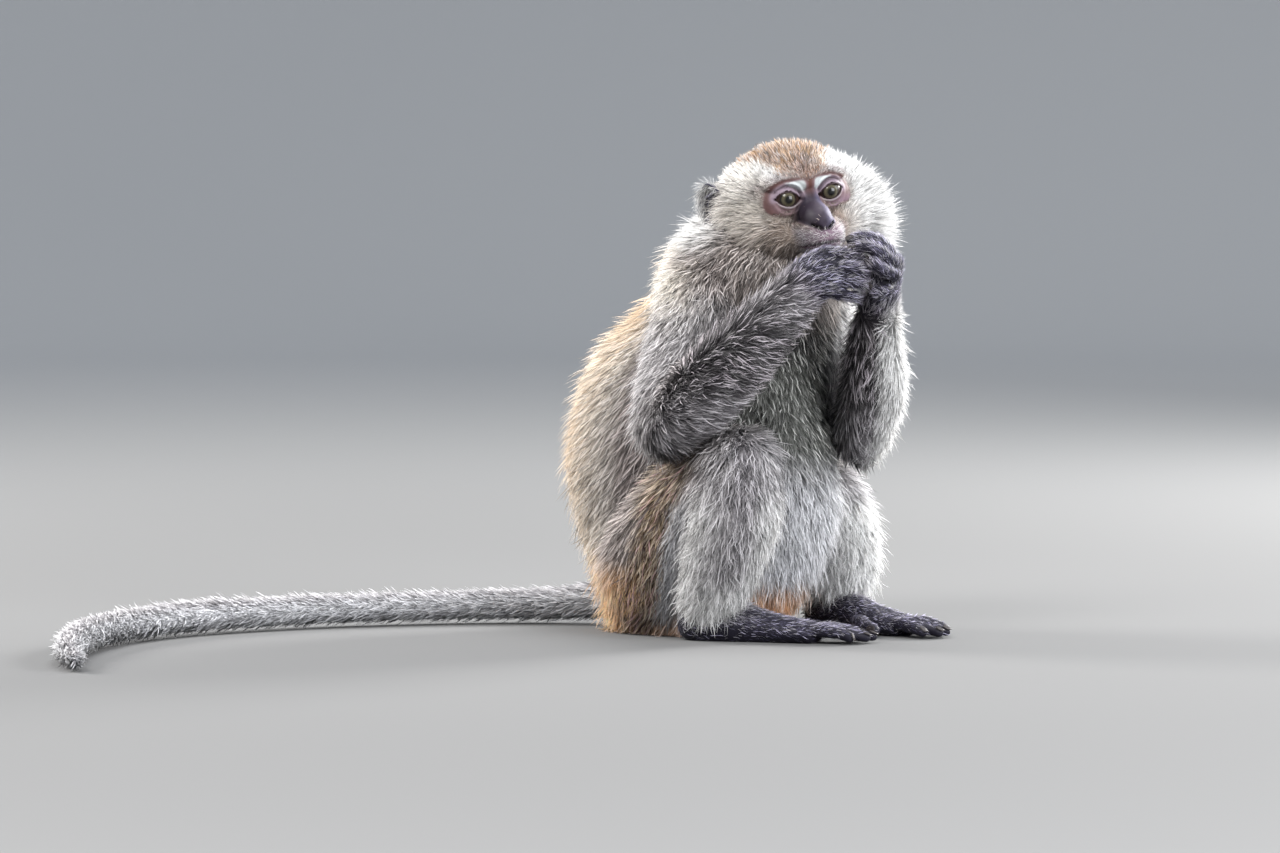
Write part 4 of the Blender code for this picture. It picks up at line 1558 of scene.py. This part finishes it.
@dataclass
class Coat:
    """Grows the tufts and makes one piece of them for each part."""

    seed: int = 7
    most: int = 39000  # tufts in one piece
    bends: tuple = (0.0, 0.4, 0.75, 1.0)
    widths: tuple = (0.75, 1.0, 0.6)
    patch: float = 0.003
    clump_size: float = 2.1 * MM
    guards: float = 0.13  # share of longer, wider hairs that stand over the rest
    guard_length: float = 1.25
    guard_width: float = 1.35
    guard_rise: tuple = (6, 9)  # degrees more at the root and at the tip
    length_range: tuple = (0.7, 1.2)  # the least and the most, as shares of the pelt's
    width_range: tuple = (0.7, 1.25)
    scatter: tuple = (0.24, 10, 8)  # spread of the lie in radians, of the rise and the fall in degrees
    twist: float = math.radians(52)  # how far a blade rolls about its own line
    sunk: float = 0.4 * MM  # how deep the root sits in the skin
    root_light: float = 0.42  # strength at the root, partly painted shade, and how much more at the tip
    tip_light: float = 0.68
    bright_guards: float = 0.6  # share of guard hairs with a bright tip, a painted highlight
    cell_keys: tuple = (73856093, 19349663, 83492791)  # large primes that tell the small cubes apart
    cell_turn: int = 7919
    golden: float = 0.6180339887

    def roots(self, triangles: Array, field: Field, chosen: Array, rng: Chance) -> tuple[Array, Array]:
        """Spreads roots over triangles in proportion to area and density.

        Args:
            triangles: the skin's triangles as vertex numbers.
            field: the field at the vertices.
            chosen: which triangles belong to the piece.
            rng: the source of chance.

        Returns:
            The root's triangles, M x 3, and its weights on their corners, M x 3.
        """
        own = triangles[chosen]
        corners = field.points[own] / MM
        cross = np.cross(corners[:, 1] - corners[:, 0], corners[:, 2] - corners[:, 0])
        area = np.linalg.norm(cross, axis=1) / 2
        total = np.cumsum(area * field.pelt[own, DENSITY].mean(1))
        count = min(self.most, int(total[-1]))
        picks = np.searchsorted(total, (np.arange(count) + rng.random(count)) / count * total[-1])
        a, b = rng.random((2, count))
        flip = a + b > 1
        a, b = np.where(flip, 1 - a, a), np.where(flip, 1 - b, b)
        return own[np.minimum(picks, len(own) - 1)], np.column_stack([1 - a - b, a, b])

    def piece(self, name: str, triangles: Array, field: Field, chosen: Array, number: int) -> Object:
        """One part's tufts.

        A tuft is a ribbon of three lengths and a point. Its centre line leaves the skin at the rise,
        bends down to the fall and swings sideways by the curl. Tips draw together by the slope of a
        ripple field, into locks.

        Args:
            name: the piece's name.
            triangles: the skin's triangles.
            field: the field at the skin's vertices.
            chosen: which triangles belong to the piece.
            number: the piece's number, for its own chances.

        Returns:
            The new object, with its colours, shading directions and unwrap.
        """
        rng = np.random.default_rng(self.seed * 1000 + number)
        corner, share = self.roots(triangles, field, chosen, rng)
        count = len(corner)

        def at(values: Array) -> Array:
            """Values of the skin's vertices read at the roots."""
            return np.einsum("tc,tc...->t...", share, values[corner])

        root, normal, lie = at(field.points), unit(at(field.normals)), at(field.lie)
        length, rise, fall, width, _, curl, fleck = at(field.pelt).T
        lie = unit(lie - (lie * normal).sum(1, keepdims=True) * normal)
        across = np.cross(normal, lie)
        turn = rng.normal(0, self.scatter[0], count)
        lie = lie * np.cos(turn)[:, None] + across * np.sin(turn)[:, None]
        across = np.cross(normal, lie)
        guard = rng.random(count) < self.guards
        length = length * MM * rng.uniform(*self.length_range, count) * np.where(guard, self.guard_length, 1)
        rise = np.radians(rise + rng.normal(0, self.scatter[1], count) + self.guard_rise[0] * guard)
        fall = np.radians(fall + rng.normal(0, self.scatter[2], count) + self.guard_rise[1] * guard)
        width = width * MM * rng.uniform(*self.width_range, count) * np.where(guard, self.guard_width, 1)

        centre = np.empty((count, 4, 3))
        centre[:, 0] = root - normal * self.sunk
        swing = rng.uniform(-1, 1, count) * curl * MM
        lock = Ripple(31, 0.011).slope(root)
        lock -= (lock * normal).sum(1, keepdims=True) * normal
        for k in range(1, 4):
            low, high = self.bends[k - 1], self.bends[k]
            angle = fall + (rise - fall) * (1 - (low + high) / 2) ** 1.4
            step = lie * np.cos(angle)[:, None] + normal * np.sin(angle)[:, None]
            centre[:, k] = centre[:, k - 1] + step * (length * (high - low))[:, None]
        for k, sway in ((1, 0.8), (2, -0.6), (3, 1.0)):
            centre[:, k] += across * (swing * sway)[:, None]
            centre[:, k] -= lock * (length * (0.10 + 0.05 * curl) * self.bends[k] ** 2)[:, None]
        centre[..., 2] = np.maximum(centre[..., 2], 0.35 * MM + 0.8 * MM * rng.random((count, 1)))

        roll = rng.uniform(-1, 1, count) * self.twist
        flat = across * np.cos(roll)[:, None] + normal * np.sin(roll)[:, None]
        blade = unit(np.cross(lie, flat))
        blade *= np.sign((blade * normal).sum(1, keepdims=True) + 1e-9)
        half = width[:, None] / 2 * np.array(self.widths)
        points = np.empty((count, 7, 3))
        for k in range(3):
            points[:, 2 * k] = centre[:, k] - flat * half[:, k, None]
            points[:, 2 * k + 1] = centre[:, k] + flat * half[:, k, None]
        points[:, 6] = centre[:, 3]
        points[..., 2] = np.maximum(points[..., 2], 0.3 * MM)
        pattern = np.array([(0, 1, 3), (0, 3, 2), (2, 3, 5), (2, 5, 4), (4, 5, 6)])
        faces = (np.arange(count)[:, None, None] * 7 + pattern).reshape(-1, 3)
        made = mesh_of(name, points.reshape(-1, 3), faces)

        second = rng.random(count) < at(field.mingle)
        colour = np.where(second[:, None], at(field.other), at(field.coat))
        self.shade(made, colour, fleck, guard, 0.58 * normal + 0.42 * blade, root, rng)
        spot = at(np.column_stack([field.unwrap, np.zeros(len(field.unwrap))]))[:, :2]
        seam = np.ptp(field.unwrap[corner][..., 0], axis=1) > 0.5
        spot[seam] = field.unwrap[corner[seam, 0]]
        low, high = spot.min(0), spot.max(0)
        spot = 0.004 + 0.99 * (spot - low) / np.maximum(high - low, 1e-9) * (1 - self.patch)
        steps = np.array([(0, 0), (1, 0), (0, 0.4), (1, 0.4), (0, 0.75), (1, 0.75), (0.5, 1)])
        patch = spot[:, None] + (steps - 0.5) * self.patch
        layer = made.data.uv_layers.new(name="OFBake")
        layer.data.foreach_set("uv", patch.reshape(-1, 2)[faces.ravel()].astype(np.float32).ravel())
        return made

    def clump(self, root: Array, rng: Chance) -> Array:
        """A chance from 0 to 1 that neighbours share: a random number for each small cube of space.

        Args:
            root: M x 3 in metres.
            rng: the source of chance.

        Returns:
            M chances.
        """
        moved = root + rng.normal(0, self.clump_size * 0.18, root.shape)
        cube = np.floor(moved / self.clump_size).astype(np.int64)
        mixed = np.bitwise_xor.reduce(cube * np.array(self.cell_keys), axis=1)
        return ((mixed % self.cell_turn) * self.golden) % 1.0

    def shade(self, made: Object, coat: Array, fleck: Array, guard: Array,
              lie: Array, root: Array, rng: Chance) -> None:
        """Colours tufts from a root darkened partly as painted shade to their tip, with dark and light
        clumps mingled.

        Args:
            made: the tufts.
            coat: a colour for each, M x 3.
            fleck: how strongly each one mingles.
            guard: which ones are guard hairs.
            lie: the directions to shade them by, M x 3.
            root: their roots, M x 3.
            rng: the source of chance.
        """
        count = len(coat)
        chance = self.clump(root, rng)
        dark = ramp(0.6, 0.85, chance) * fleck
        light = ramp(0.4, 0.15, chance) * fleck
        sway = 0.16 * (2 * chance - 1) + rng.normal(0, 0.15, count)
        tip = coat * ((1 - 0.72 * dark) * np.exp(-sway))[:, None]
        tip = mix(tip, tip * 0.35 + tone(228, 225, 225) * 0.64, light * 0.8)
        # painted highlight: some guard hairs get bright tips, as if lit from behind
        bright = guard & (rng.random(count) < self.bright_guards)
        hue = coat / np.maximum(coat.max(axis=1, keepdims=True), 1e-6)
        tip = mix(tip, 0.5 * hue + 0.32 * tone(240, 238, 240), bright * (0.4 + 0.5 * fleck))
        tip = tip * np.where(guard & ~bright, 0.5, 1)[:, None]
        # darker towards the root: partly the hair's own base, partly painted shade deep in the coat
        along = np.array((0, 0, 0.4, 0.4, 0.75, 0.75, 1.0))
        depth = self.root_light + self.tip_light * ramp(0.0, 0.85, along)
        colour = tip[:, None] * depth[None, :, None]
        rgba = np.ones((count, 7, 4), np.float32)
        rgba[..., :3] = np.clip(colour, 0, 1)
        store(made, "tone", "FLOAT_COLOR", rgba)
        store(made, "lie", "FLOAT_VECTOR", np.repeat(unit(lie), 7, axis=0))


def mesh_of(name: str, points: Array, faces: Array) -> Object:
    """A new object from points and triangles given as arrays.

    Args:
        name: its name.
        points: N x 3 in metres.
        faces: T x 3 point numbers.

    Returns:
        The object.
    """
    mesh = bpy.data.meshes.new(name)
    mesh.vertices.add(len(points))
    mesh.vertices.foreach_set("co", points.astype(np.float32).ravel())
    mesh.loops.add(faces.size)
    mesh.loops.foreach_set("vertex_index", faces.astype(np.int32).ravel())
    mesh.polygons.add(len(faces))
    mesh.polygons.foreach_set("loop_start", np.arange(0, faces.size, 3, dtype=np.int32))
    mesh.update(calc_edges=True)
    made = bpy.data.objects.new(name, mesh)
    bpy.context.scene.collection.objects.link(made)
    return made


def store(made: Object, name: str, kind: str, values: Array) -> None:
    """Stores a number, a vector or a colour for each vertex, as an attribute of that kind."""
    key = {"FLOAT": "value", "FLOAT_VECTOR": "vector", "FLOAT_COLOR": "color"}[kind]
    made.data.attributes.new(name, kind, "POINT").data.foreach_set(key, values.astype(np.float32).ravel())


# ---- finishes


class Nodes:
    """A short way to wire a material."""

    def __init__(self, name: str) -> None:
        """Starts a material with one Principled shader.

        Args:
            name: the material's name.
        """
        self.material = bpy.data.materials.new(name)
        self.material.use_nodes = True
        self.tree = self.material.node_tree
        self.shader = self.tree.nodes["Principled BSDF"]

    def add(self, kind: str, settings: dict | None = None, **inputs: object) -> bpy.types.Node:
        """Adds a node.

        Args:
            kind: the node's type.
            settings: its own settings.
            inputs: a value or a socket for each input, its spaces written as underscores.

        Returns:
            The node.
        """
        node = self.tree.nodes.new(kind)
        for key, value in (settings or {}).items():
            setattr(node, key, value)
        for key, value in inputs.items():
            self.put(node, key.replace("_", " "), value)
        return node

    def put(self, node: bpy.types.Node, key: str, value: object) -> None:
        """Sets an input or links a socket to it.

        Args:
            node: the node.
            key: the input's name, or n and its number.
            value: a value or a socket.
        """
        socket = node.inputs[int(key[1:])] if key[0] == "n" and key[1:].isdigit() else node.inputs[key]
        if isinstance(value, bpy.types.NodeSocket):
            self.tree.links.new(value, socket)
        else:
            socket.default_value = value

    def place(self) -> bpy.types.NodeSocket:
        """Object coordinates."""
        return self.add("ShaderNodeTexCoord").outputs["Object"]

    def stored(self, name: str, output: str) -> bpy.types.NodeSocket:
        """A value that the mesh stores for its vertices."""
        return self.add("ShaderNodeAttribute", {"attribute_name": name}).outputs[output]

    def spanned(self, value: bpy.types.NodeSocket, low: float, high: float) -> bpy.types.NodeSocket:
        """A value from 0 to 1 turned to one from low to high."""
        return self.add("ShaderNodeMapRange", Value=value, To_Min=low, To_Max=high).outputs["Result"]

    def times(self, colour: bpy.types.NodeSocket, value: bpy.types.NodeSocket) -> bpy.types.NodeSocket:
        """A colour times a value."""
        kind = {"data_type": "RGBA", "blend_type": "MULTIPLY"}
        return self.add("ShaderNodeMix", kind, n0=1.0, n6=colour, n7=value).outputs[2]

    def set(self, **inputs: object) -> None:
        """Sets the shader's inputs."""
        for key, value in inputs.items():
            self.put(self.shader, key.replace("_", " "), value)


@dataclass(frozen=True)
class SkinFinish:
    """Skin in its painted tones, mottled, with pores and fine creases."""

    roughness: float = 0.52
    pore: float = 900.0
    crease: float = 850.0

    def material(self) -> bpy.types.Material:
        """Tone times a soft mottle, and two bumps.

        Returns:
            The material.
        """
        nodes = Nodes("skin")
        place = nodes.place()
        painted = nodes.stored("tone", "Color")
        mottle = nodes.add("ShaderNodeTexNoise", Vector=place, Scale=260.0, Detail=4.0, Roughness=0.6)
        colour = nodes.times(painted, nodes.spanned(mottle.outputs["Fac"], 0.72, 1.28))
        crease = nodes.add("ShaderNodeTexVoronoi", {"feature": "DISTANCE_TO_EDGE"}, Vector=place,
                           Scale=self.crease, Randomness=1.0)
        lines = nodes.add("ShaderNodeMapRange", Value=crease.outputs["Distance"], From_Max=0.25)
        pore = nodes.add("ShaderNodeTexNoise", Vector=place, Scale=self.pore, Detail=3.0)
        low = nodes.add("ShaderNodeBump", Strength=0.22, Distance=0.0003, Height=lines.outputs["Result"])
        high = nodes.add("ShaderNodeBump", Strength=0.3, Distance=0.0003, Height=pore.outputs["Fac"],
                         Normal=low.outputs["Normal"])
        rough = nodes.spanned(mottle.outputs["Fac"], self.roughness - 0.08, self.roughness + 0.14)
        nodes.set(Base_Color=colour, Roughness=rough, Normal=high.outputs["Normal"])
        nodes.set(Specular_IOR_Level=0.22)
        return nodes.material


@dataclass(frozen=True)
class CoatFinish:
    """Hair: painted tones with fine streaks, a soft sheen and some light through it."""

    name: str
    roughness: float = 0.6
    through: float = 0.25

    def material(self) -> bpy.types.Material:
        """Tone times a fine noise, shaded along the lie, part of it translucent.

        Returns:
            The material.
        """
        nodes = Nodes(self.name)
        place = nodes.place()
        painted = nodes.stored("tone", "Color")
        lie = nodes.stored("lie", "Vector")
        streak = nodes.add("ShaderNodeTexNoise", Vector=place, Scale=420.0, Detail=2.0)
        colour = nodes.times(painted, nodes.spanned(streak.outputs["Fac"], 0.8, 1.2))
        rough = nodes.spanned(streak.outputs["Fac"], self.roughness - 0.1, self.roughness + 0.1)
        nodes.set(Base_Color=colour, Roughness=rough, Normal=lie)
        nodes.set(Specular_IOR_Level=0.3, Sheen_Weight=0.15, Sheen_Roughness=0.45)
        clear = nodes.add("ShaderNodeBsdfTranslucent", Color=colour)
        both = nodes.add("ShaderNodeMixShader", Fac=self.through, n1=nodes.shader.outputs["BSDF"],
                         n2=clear.outputs["BSDF"])
        nodes.put(nodes.tree.nodes["Material Output"], "Surface", both.outputs["Shader"])
        return nodes.material


@dataclass(frozen=True)
class NailFinish:
    """Dark horn with a fine bumpy surface and a soft shine."""

    roughness: float = 0.42

    def material(self) -> bpy.types.Material:
        """Brown-black horn, lighter in patches.

        Returns:
            The material.
        """
        nodes = Nodes("nail")
        place = nodes.place()
        cloud = nodes.add("ShaderNodeTexNoise", Vector=place, Scale=500.0, Detail=3.0)
        colour = nodes.add("ShaderNodeMix", {"data_type": "RGBA"}, n0=cloud.outputs["Fac"],
                           n6=(*tone(24, 21, 24), 1), n7=(*tone(58, 52, 52), 1))
        bump = nodes.add("ShaderNodeBump", Strength=0.2, Distance=0.0002, Height=cloud.outputs["Fac"])
        rough = nodes.spanned(cloud.outputs["Fac"], self.roughness - 0.08, self.roughness + 0.12)
        nodes.set(Base_Color=colour.outputs[2], Roughness=rough, Normal=bump.outputs["Normal"])
        nodes.set(Specular_IOR_Level=0.25)
        return nodes.material


@dataclass(frozen=True)
class EyeFinish:
    """A wet eye: pupil, fibrous olive iris, dark ring and brown white."""

    eyes: Eyes

    def material(self) -> bpy.types.Material:
        """A ramp over the angle from the gaze, broken by fibres that run out from the pupil.

        Returns:
            The material.
        """
        nodes = Nodes("eye")
        ray, angle = nodes.stored("fibre", "Vector"), nodes.stored("angle", "Fac")
        fibre = nodes.add("ShaderNodeTexNoise", Vector=ray, Scale=9.0, Detail=4.0, Roughness=0.65)
        wander = nodes.add("ShaderNodeMath", {"operation": "MULTIPLY_ADD"},
                           n0=fibre.outputs["Fac"], n1=0.06, n2=angle)
        rings = nodes.add("ShaderNodeValToRGB", Fac=wander.outputs["Value"])
        pupil, iris = self.eyes.pupil / EYE_SPAN, self.eyes.iris / EYE_SPAN
        stops = (
            (0.0, (2, 2, 3)), (pupil + 0.015, (2, 2, 3)), (pupil + 0.04, (34, 31, 22)),
            (0.28, (74, 69, 54)), (0.36, (66, 61, 47)), (iris - 0.01, (28, 24, 18)),
            (iris + 0.03, (14, 11, 10)), (iris + 0.10, (44, 30, 26)), (0.9, (56, 38, 34)),
        )
        points = rings.color_ramp.elements
        while len(points) < len(stops):
            points.new(0.5)
        for point, (position, shade) in zip(points, stops):
            point.position = position
            point.color = (*tone(*shade), 1)
        colour = nodes.times(rings.outputs["Color"], nodes.spanned(fibre.outputs["Fac"], 0.55, 1.5))
        nodes.set(Base_Color=colour, Roughness=0.4, Specular_IOR_Level=0.1)
        nodes.set(Coat_Weight=0.55, Coat_Roughness=0.015)
        return nodes.material


@dataclass(frozen=True)
class FloorFinish:
    """A pale matt floor, toned down under the lamps so that it looks even."""

    near: tuple = (104, 104, 104)
    far: tuple = (196, 196, 196)

    def material(self) -> bpy.types.Material:
        """A grey that grows paler with the way from the middle.

        Returns:
            The material.
        """
        nodes = Nodes("floor")
        place = nodes.place()
        away = nodes.add("ShaderNodeVectorMath", {"operation": "LENGTH"}, n0=place).outputs["Value"]
        share = nodes.add("ShaderNodeMapRange", {"interpolation_type": "SMOOTHSTEP"},
                          Value=away, From_Min=0.6, From_Max=5.0)
        colour = nodes.add("ShaderNodeMix", {"data_type": "RGBA"}, n0=share.outputs["Result"],
                           n6=(*tone(*self.near), 1), n7=(*tone(*self.far), 1))
        nodes.set(Base_Color=colour.outputs[2], Roughness=0.9, Specular_IOR_Level=0.2)
        return nodes.material


# ---- the sub-assemblies


@dataclass
class Skin:
    """The one skin over the whole body."""

    trunk: Trunk
    head: Head
    ears: Ear
    body_voxel: float = 3.4
    hand_voxel: float = 0.95
    foot_voxel: float = 1.15

    def build(self) -> Object:
        """Fuses trunk, limbs and tail, hands and feet, and adds the head and ears.

        Returns:
            The skin, one closed mesh.
        """
        large = [self.trunk.surface()] + [length.surface() for length in (TAIL, *LIMBS)]
        body = fused("skin", large, self.body_voxel, 6)
        palms = [length.surface() for hand in HANDS for length in hand.lengths()]
        hands = fused("hands", palms, self.hand_voxel, 2)
        soles = [length.surface() for foot in FEET for length in foot.lengths()]
        feet = fused("feet", soles, self.foot_voxel, 2)
        head = self.head.surface().object("head_skin")
        ears = joined([self.ears.surface(self.head, way) for way in SIDES.values()]).object("ear_skin")
        skin = unite(body, [hands, feet, head, ears])
        points = read_points(skin)
        points[:, 2] = np.maximum(points[:, 2], 0.0)
        skin.data.vertices.foreach_set("co", points.astype(np.float32).ravel())
        skin.data.update()
        skin.data.shade_smooth()
        return skin


def read_rows(items: bpy.types.bpy_prop_collection, key: str, kind: type) -> Array:
    """Reads a property of three numbers from every item of a mesh.

    Args:
        items: the mesh's points, normals or triangles.
        key: the property's name.
        kind: the numbers' type in the mesh.

    Returns:
        The numbers, N x 3.
    """
    rows = np.empty(len(items) * 3, kind)
    items.foreach_get(key, rows)
    return rows.reshape(-1, 3)


def read_points(made: Object) -> Array:
    """The mesh's points, N x 3."""
    return read_rows(made.data.vertices, "co", np.float32).astype(float)


def read_normals(made: Object) -> Array:
    """The mesh's vertex normals, N x 3."""
    return read_rows(made.data.vertex_normals, "vector", np.float32).astype(float)


def read_triangles(made: Object) -> Array:
    """The mesh's triangles as vertex numbers, N x 3."""
    made.data.calc_loop_triangles()
    return read_rows(made.data.loop_triangles, "vertices", np.int32)


def hollows(made: Object, points: Array, normals: Array, passes: int = 10) -> Array:
    """How far each point lies below its surroundings, in millimetres.

    The surroundings are the mean of the neighbours, taken again and again. The depth is read along
    the normal.

    Args:
        made: the skin.
        points: its points.
        normals: its normals.
        passes: how many times the mean is taken.

    Returns:
        N depths.
    """
    ends = np.empty(len(made.data.edges) * 2, np.int32)
    made.data.edges.foreach_get("vertices", ends)
    one, other = ends.reshape(-1, 2).T
    count = np.bincount(ends, minlength=len(points))[:, None]
    mean = points.copy()
    for _ in range(passes):
        mean = np.column_stack([
            np.bincount(one, mean[other, k], len(points)) + np.bincount(other, mean[one, k], len(points))
            for k in range(3)
        ]) / count
    return ((mean - points) * normals).sum(1) / MM


@dataclass
class EyeBall:
    """One eye, turned round its gaze, with a clear bulge over the iris."""

    head: Head
    way: int
    rings: int = 56
    sides: int = 64
    bulge: float = 0.9

    def build(self, name: str) -> Object:
        """Rings at even angles from the gaze. The radius is the ball's plus bulge times a bell.

        Args:
            name: the object's name.

        Returns:
            The eye, with its stored angle and fibre values.
        """
        eyes = self.head.eyes
        angle = np.linspace(0.02, math.pi - 0.02, self.rings)
        turn = np.linspace(0, 2 * math.pi, self.sides, endpoint=False)
        radius = eyes.radius + self.bulge * np.exp(-((angle / (eyes.iris * 0.85)) ** 4))
        gaze = unit(np.array(eyes.gaze))
        right = unit(np.cross(gaze, (0, 0, 1)))
        up = np.cross(right, gaze)
        spoke = np.cos(turn)[:, None] * right + np.sin(turn)[:, None] * up
        rings = (
            (radius * np.cos(angle))[:, None, None] * gaze
            + (radius * np.sin(angle))[:, None, None] * spoke[None]
            + eyes.middle(self.way)
        )
        made = shell(self.head.world(rings)).object(name)
        made.data.shade_smooth()
        local = self.head.local(read_points(made)) - eyes.middle(self.way)
        cosine = np.clip(unit(local) @ gaze, -1, 1)
        flat = unit(local - (local @ gaze)[:, None] * gaze)
        away = np.arccos(cosine)
        store(made, "angle", "FLOAT", away / EYE_SPAN)
        store(made, "fibre", "FLOAT_VECTOR", flat + 0.25 * away[:, None])
        return made


@dataclass
class Nails:
    """The nails of all fingers and toes, as curved plates."""

    long: float = 1.75  # in radii of the digit
    wide: float = 0.74

    def plate(self, digit: Digit) -> Surface:
        """A plate over the tip: an arc across, arched along, of a thickness that thins to its end.

        The back of a digit is away from the side that its path curls to.

        Args:
            digit: a finger or toe.

        Returns:
            The plate's shell, in metres.
        """
        length = digit.length()
        rows, heading, side, _ = length.frames(24)
        base, tip = rows[17, :3], rows[-1, :3]
        radius = rows[20, 3]
        forward = unit(tip - base)
        curl = np.array(digit.points[0]) + digit.points[-1] - 2 * np.mean(digit.points[1:3], axis=0)
        back = -curl if np.linalg.norm(curl) > 3 else UP
        back = unit(back - (back @ forward) * forward)
        over = np.cross(forward, back)
        u = np.linspace(0, 1, 10)[:, None]
        angle = np.linspace(0, 2 * math.pi, 20, endpoint=False)[None]
        flat = np.sign(np.cos(angle)) * np.abs(np.cos(angle)) ** 0.8
        thick = 0.16 * np.sin(angle) * (1 - 0.4 * u)
        spread_ = self.wide * (1 - 0.35 * (2 * u - 1) ** 4) * flat
        height = 0.62 + 0.42 * np.sqrt(np.maximum(1 - (spread_ * 0.95) ** 2, 0)) + thick - 0.32 * u**2
        along = (u - 0.42) * self.long
        rings = tip + radius * (
            along[..., None] * forward + spread_[..., None] * over + height[..., None] * back
        )
        return shell(rings)

    def build(self) -> Object:
        """All the plates as one piece.

        Returns:
            The nails.
        """
        digits = [digit for limb in (*HANDS, *FEET) for digit in limb.digit_list()]
        made = joined([self.plate(digit) for digit in digits]).object("nails")
        made.data.shade_smooth()
        return made


@dataclass
class Studio:
    """Camera, soft lights, a pale sky and a pale floor."""

    distance: float = 4.0
    target: tuple = (-0.010, 0.0, 0.137)
    elevation: float = math.radians(3)
    width: float = 0.8533  # metres across the picture at the target
    sensor: float = 36.0
    aim: tuple = (0.03, 0.0, 0.15)  # where the lamps point
    lamps: tuple = (  # name, place, watts, width and colour
        ("key", (-1.1, -1.8, 2.2), 82, 1.2, (1.0, 0.985, 0.965)),
        ("fill", (1.9, -1.7, 0.8), 80, 1.4, (0.96, 0.98, 1.0)),
        ("top", (0.3, 0.4, 2.4), 52, 1.2, (1.0, 1.0, 1.0)),
        ("rim_right", (1.7, 1.2, 1.1), 112, 0.8, (1.0, 0.995, 0.98)),
        ("rim_left", (-2.0, 0.7, 1.2), 80, 0.8, (1.0, 0.985, 0.96)),
    )
    sky: tuple = (0.75, 0.82, 0.92, 1.0)
    sky_strength: float = 0.62
    floor_half: float = 9.0
    floor_points: int = 61
    floor_bend: float = 4.6  # metres from the middle where the floor starts to rise
    floor_rise: float = 0.22

    def camera(self) -> None:
        """A long lens at the animal's height, looking along +Y."""
        data = bpy.data.cameras.new("camera")
        data.sensor_width = self.sensor
        data.lens = self.sensor * self.distance / self.width
        camera = bpy.data.objects.new("camera", data)
        bpy.context.scene.collection.objects.link(camera)
        back = Vector((0, -math.cos(self.elevation), math.sin(self.elevation)))
        camera.location = Vector(self.target) + back * self.distance
        camera.rotation_euler = (-back).to_track_quat("-Z", "Y").to_euler()
        bpy.context.scene.camera = camera

    def lamp(self, name: str, place: tuple, energy: float, size: float, colour: tuple) -> None:
        """A square soft lamp that faces the animal.

        Args:
            name: the lamp's name.
            place: where it hangs, in metres.
            energy: its watts.
            size: its side in metres.
            colour: its light's colour.
        """
        data = bpy.data.lights.new(name, "AREA")
        data.energy, data.size, data.color = energy, size, colour
        lamp = bpy.data.objects.new(name, data)
        bpy.context.scene.collection.objects.link(lamp)
        lamp.location = place
        lamp.rotation_euler = (Vector(self.aim) - Vector(place)).to_track_quat("-Z", "Y").to_euler()

    def light(self) -> None:
        """Hangs the lamps, two of them behind the animal for its bright edge, and lights the sky."""
        for row in self.lamps:
            self.lamp(*row)
        world = bpy.data.worlds.new("studio")
        bpy.context.scene.world = world
        world.use_nodes = True
        sky = world.node_tree.nodes["Background"]
        sky.inputs["Color"].default_value = self.sky
        sky.inputs["Strength"].default_value = self.sky_strength
        bpy.context.scene.view_settings.view_transform = "Standard"

    def floor(self) -> Object:
        """A round floor that curves up far out: it rises as the square of the way past the bend.

        Returns:
            The floor.
        """
        count = self.floor_points
        line = np.linspace(-self.floor_half, self.floor_half, count)
        across, depth = np.meshgrid(line, line, indexing="ij")
        height = self.floor_rise * np.maximum(np.hypot(across, depth) - self.floor_bend, 0) ** 2
        points = np.stack([across, depth, height], axis=-1).reshape(-1, 3)
        index = np.arange(count * count).reshape(count, count)
        corners = [index[:-1, :-1], index[1:, :-1], index[1:, 1:], index[:-1, 1:]]
        quads = np.stack(corners, axis=-1).reshape(-1, 4)
        floor = Surface(points, quads.tolist()).object("studio_floor")
        floor.data.shade_smooth()
        floor.data.materials.append(FloorFinish().material())
        return floor


def dress(made: Object, finish: bpy.types.Material) -> Object:
    """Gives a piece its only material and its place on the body.

    Args:
        made: the piece.
        finish: its material.

    Returns:
        The piece.
    """
    made.data.materials.clear()
    made.data.materials.append(finish)
    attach(made, "root")
    LOG.info("%s: %d faces", made.name, len(made.data.polygons))
    return made


def main() -> None:
    """Builds the skin, eyes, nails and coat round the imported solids, then the studio."""
    logging.basicConfig(level=logging.INFO, format="%(name)s %(message)s")
    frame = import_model()
    head, trunk, ears = Head(), Trunk(), Ear()
    studio = Studio()
    studio.camera()
    studio.light()
    studio.floor()

    skin = Skin(trunk, head, ears).build()
    lengths = [*LIMBS, TAIL] + [row for limb in (*HANDS, *FEET) for row in limb.lengths()]
    body = BodyMap.of_body(trunk, lengths, head)
    markings = Markings(body, trunk, head, ears)
    points, normals = read_points(skin), read_normals(skin)
    field = markings.field(points, normals, hollows(skin, points, normals))
    rgba = np.column_stack([np.clip(field.skin, 0, 1), np.ones(len(field.skin))])
    store(skin, "tone", "FLOAT_COLOR", rgba)
    dress(skin, SkinFinish().material())
    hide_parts(*[node for node in frame["nodes"] if not node.startswith("eye_")])

    rims = joined(head.lid_rims()).object("eyelids")
    rims.data.shade_smooth()
    store(rims, "tone", "FLOAT_COLOR", np.tile((*Shade.RIM.light, 1), (len(rims.data.vertices), 1)))
    dress(rims, SkinFinish().material())
    for side, way in SIDES.items():
        ball = EyeBall(head, way).build(f"eyeball_{side}")
        dress(ball, EyeFinish(head.eyes).material())
        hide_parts(f"eye_{side}")
    dress(Nails().build(), NailFinish().material())

    coat = Coat()
    triangles = read_triangles(skin)
    finish = CoatFinish("hair").material()
    parts = body.names + ["ear_right", "ear_left"]
    for number, part in enumerate(parts):
        chosen = field.part[triangles[:, 0]] == number
        piece = coat.piece(f"coat_{part}", triangles, field, chosen, number)
        dress(piece, finish)


if __name__ == "__main__":
    main()
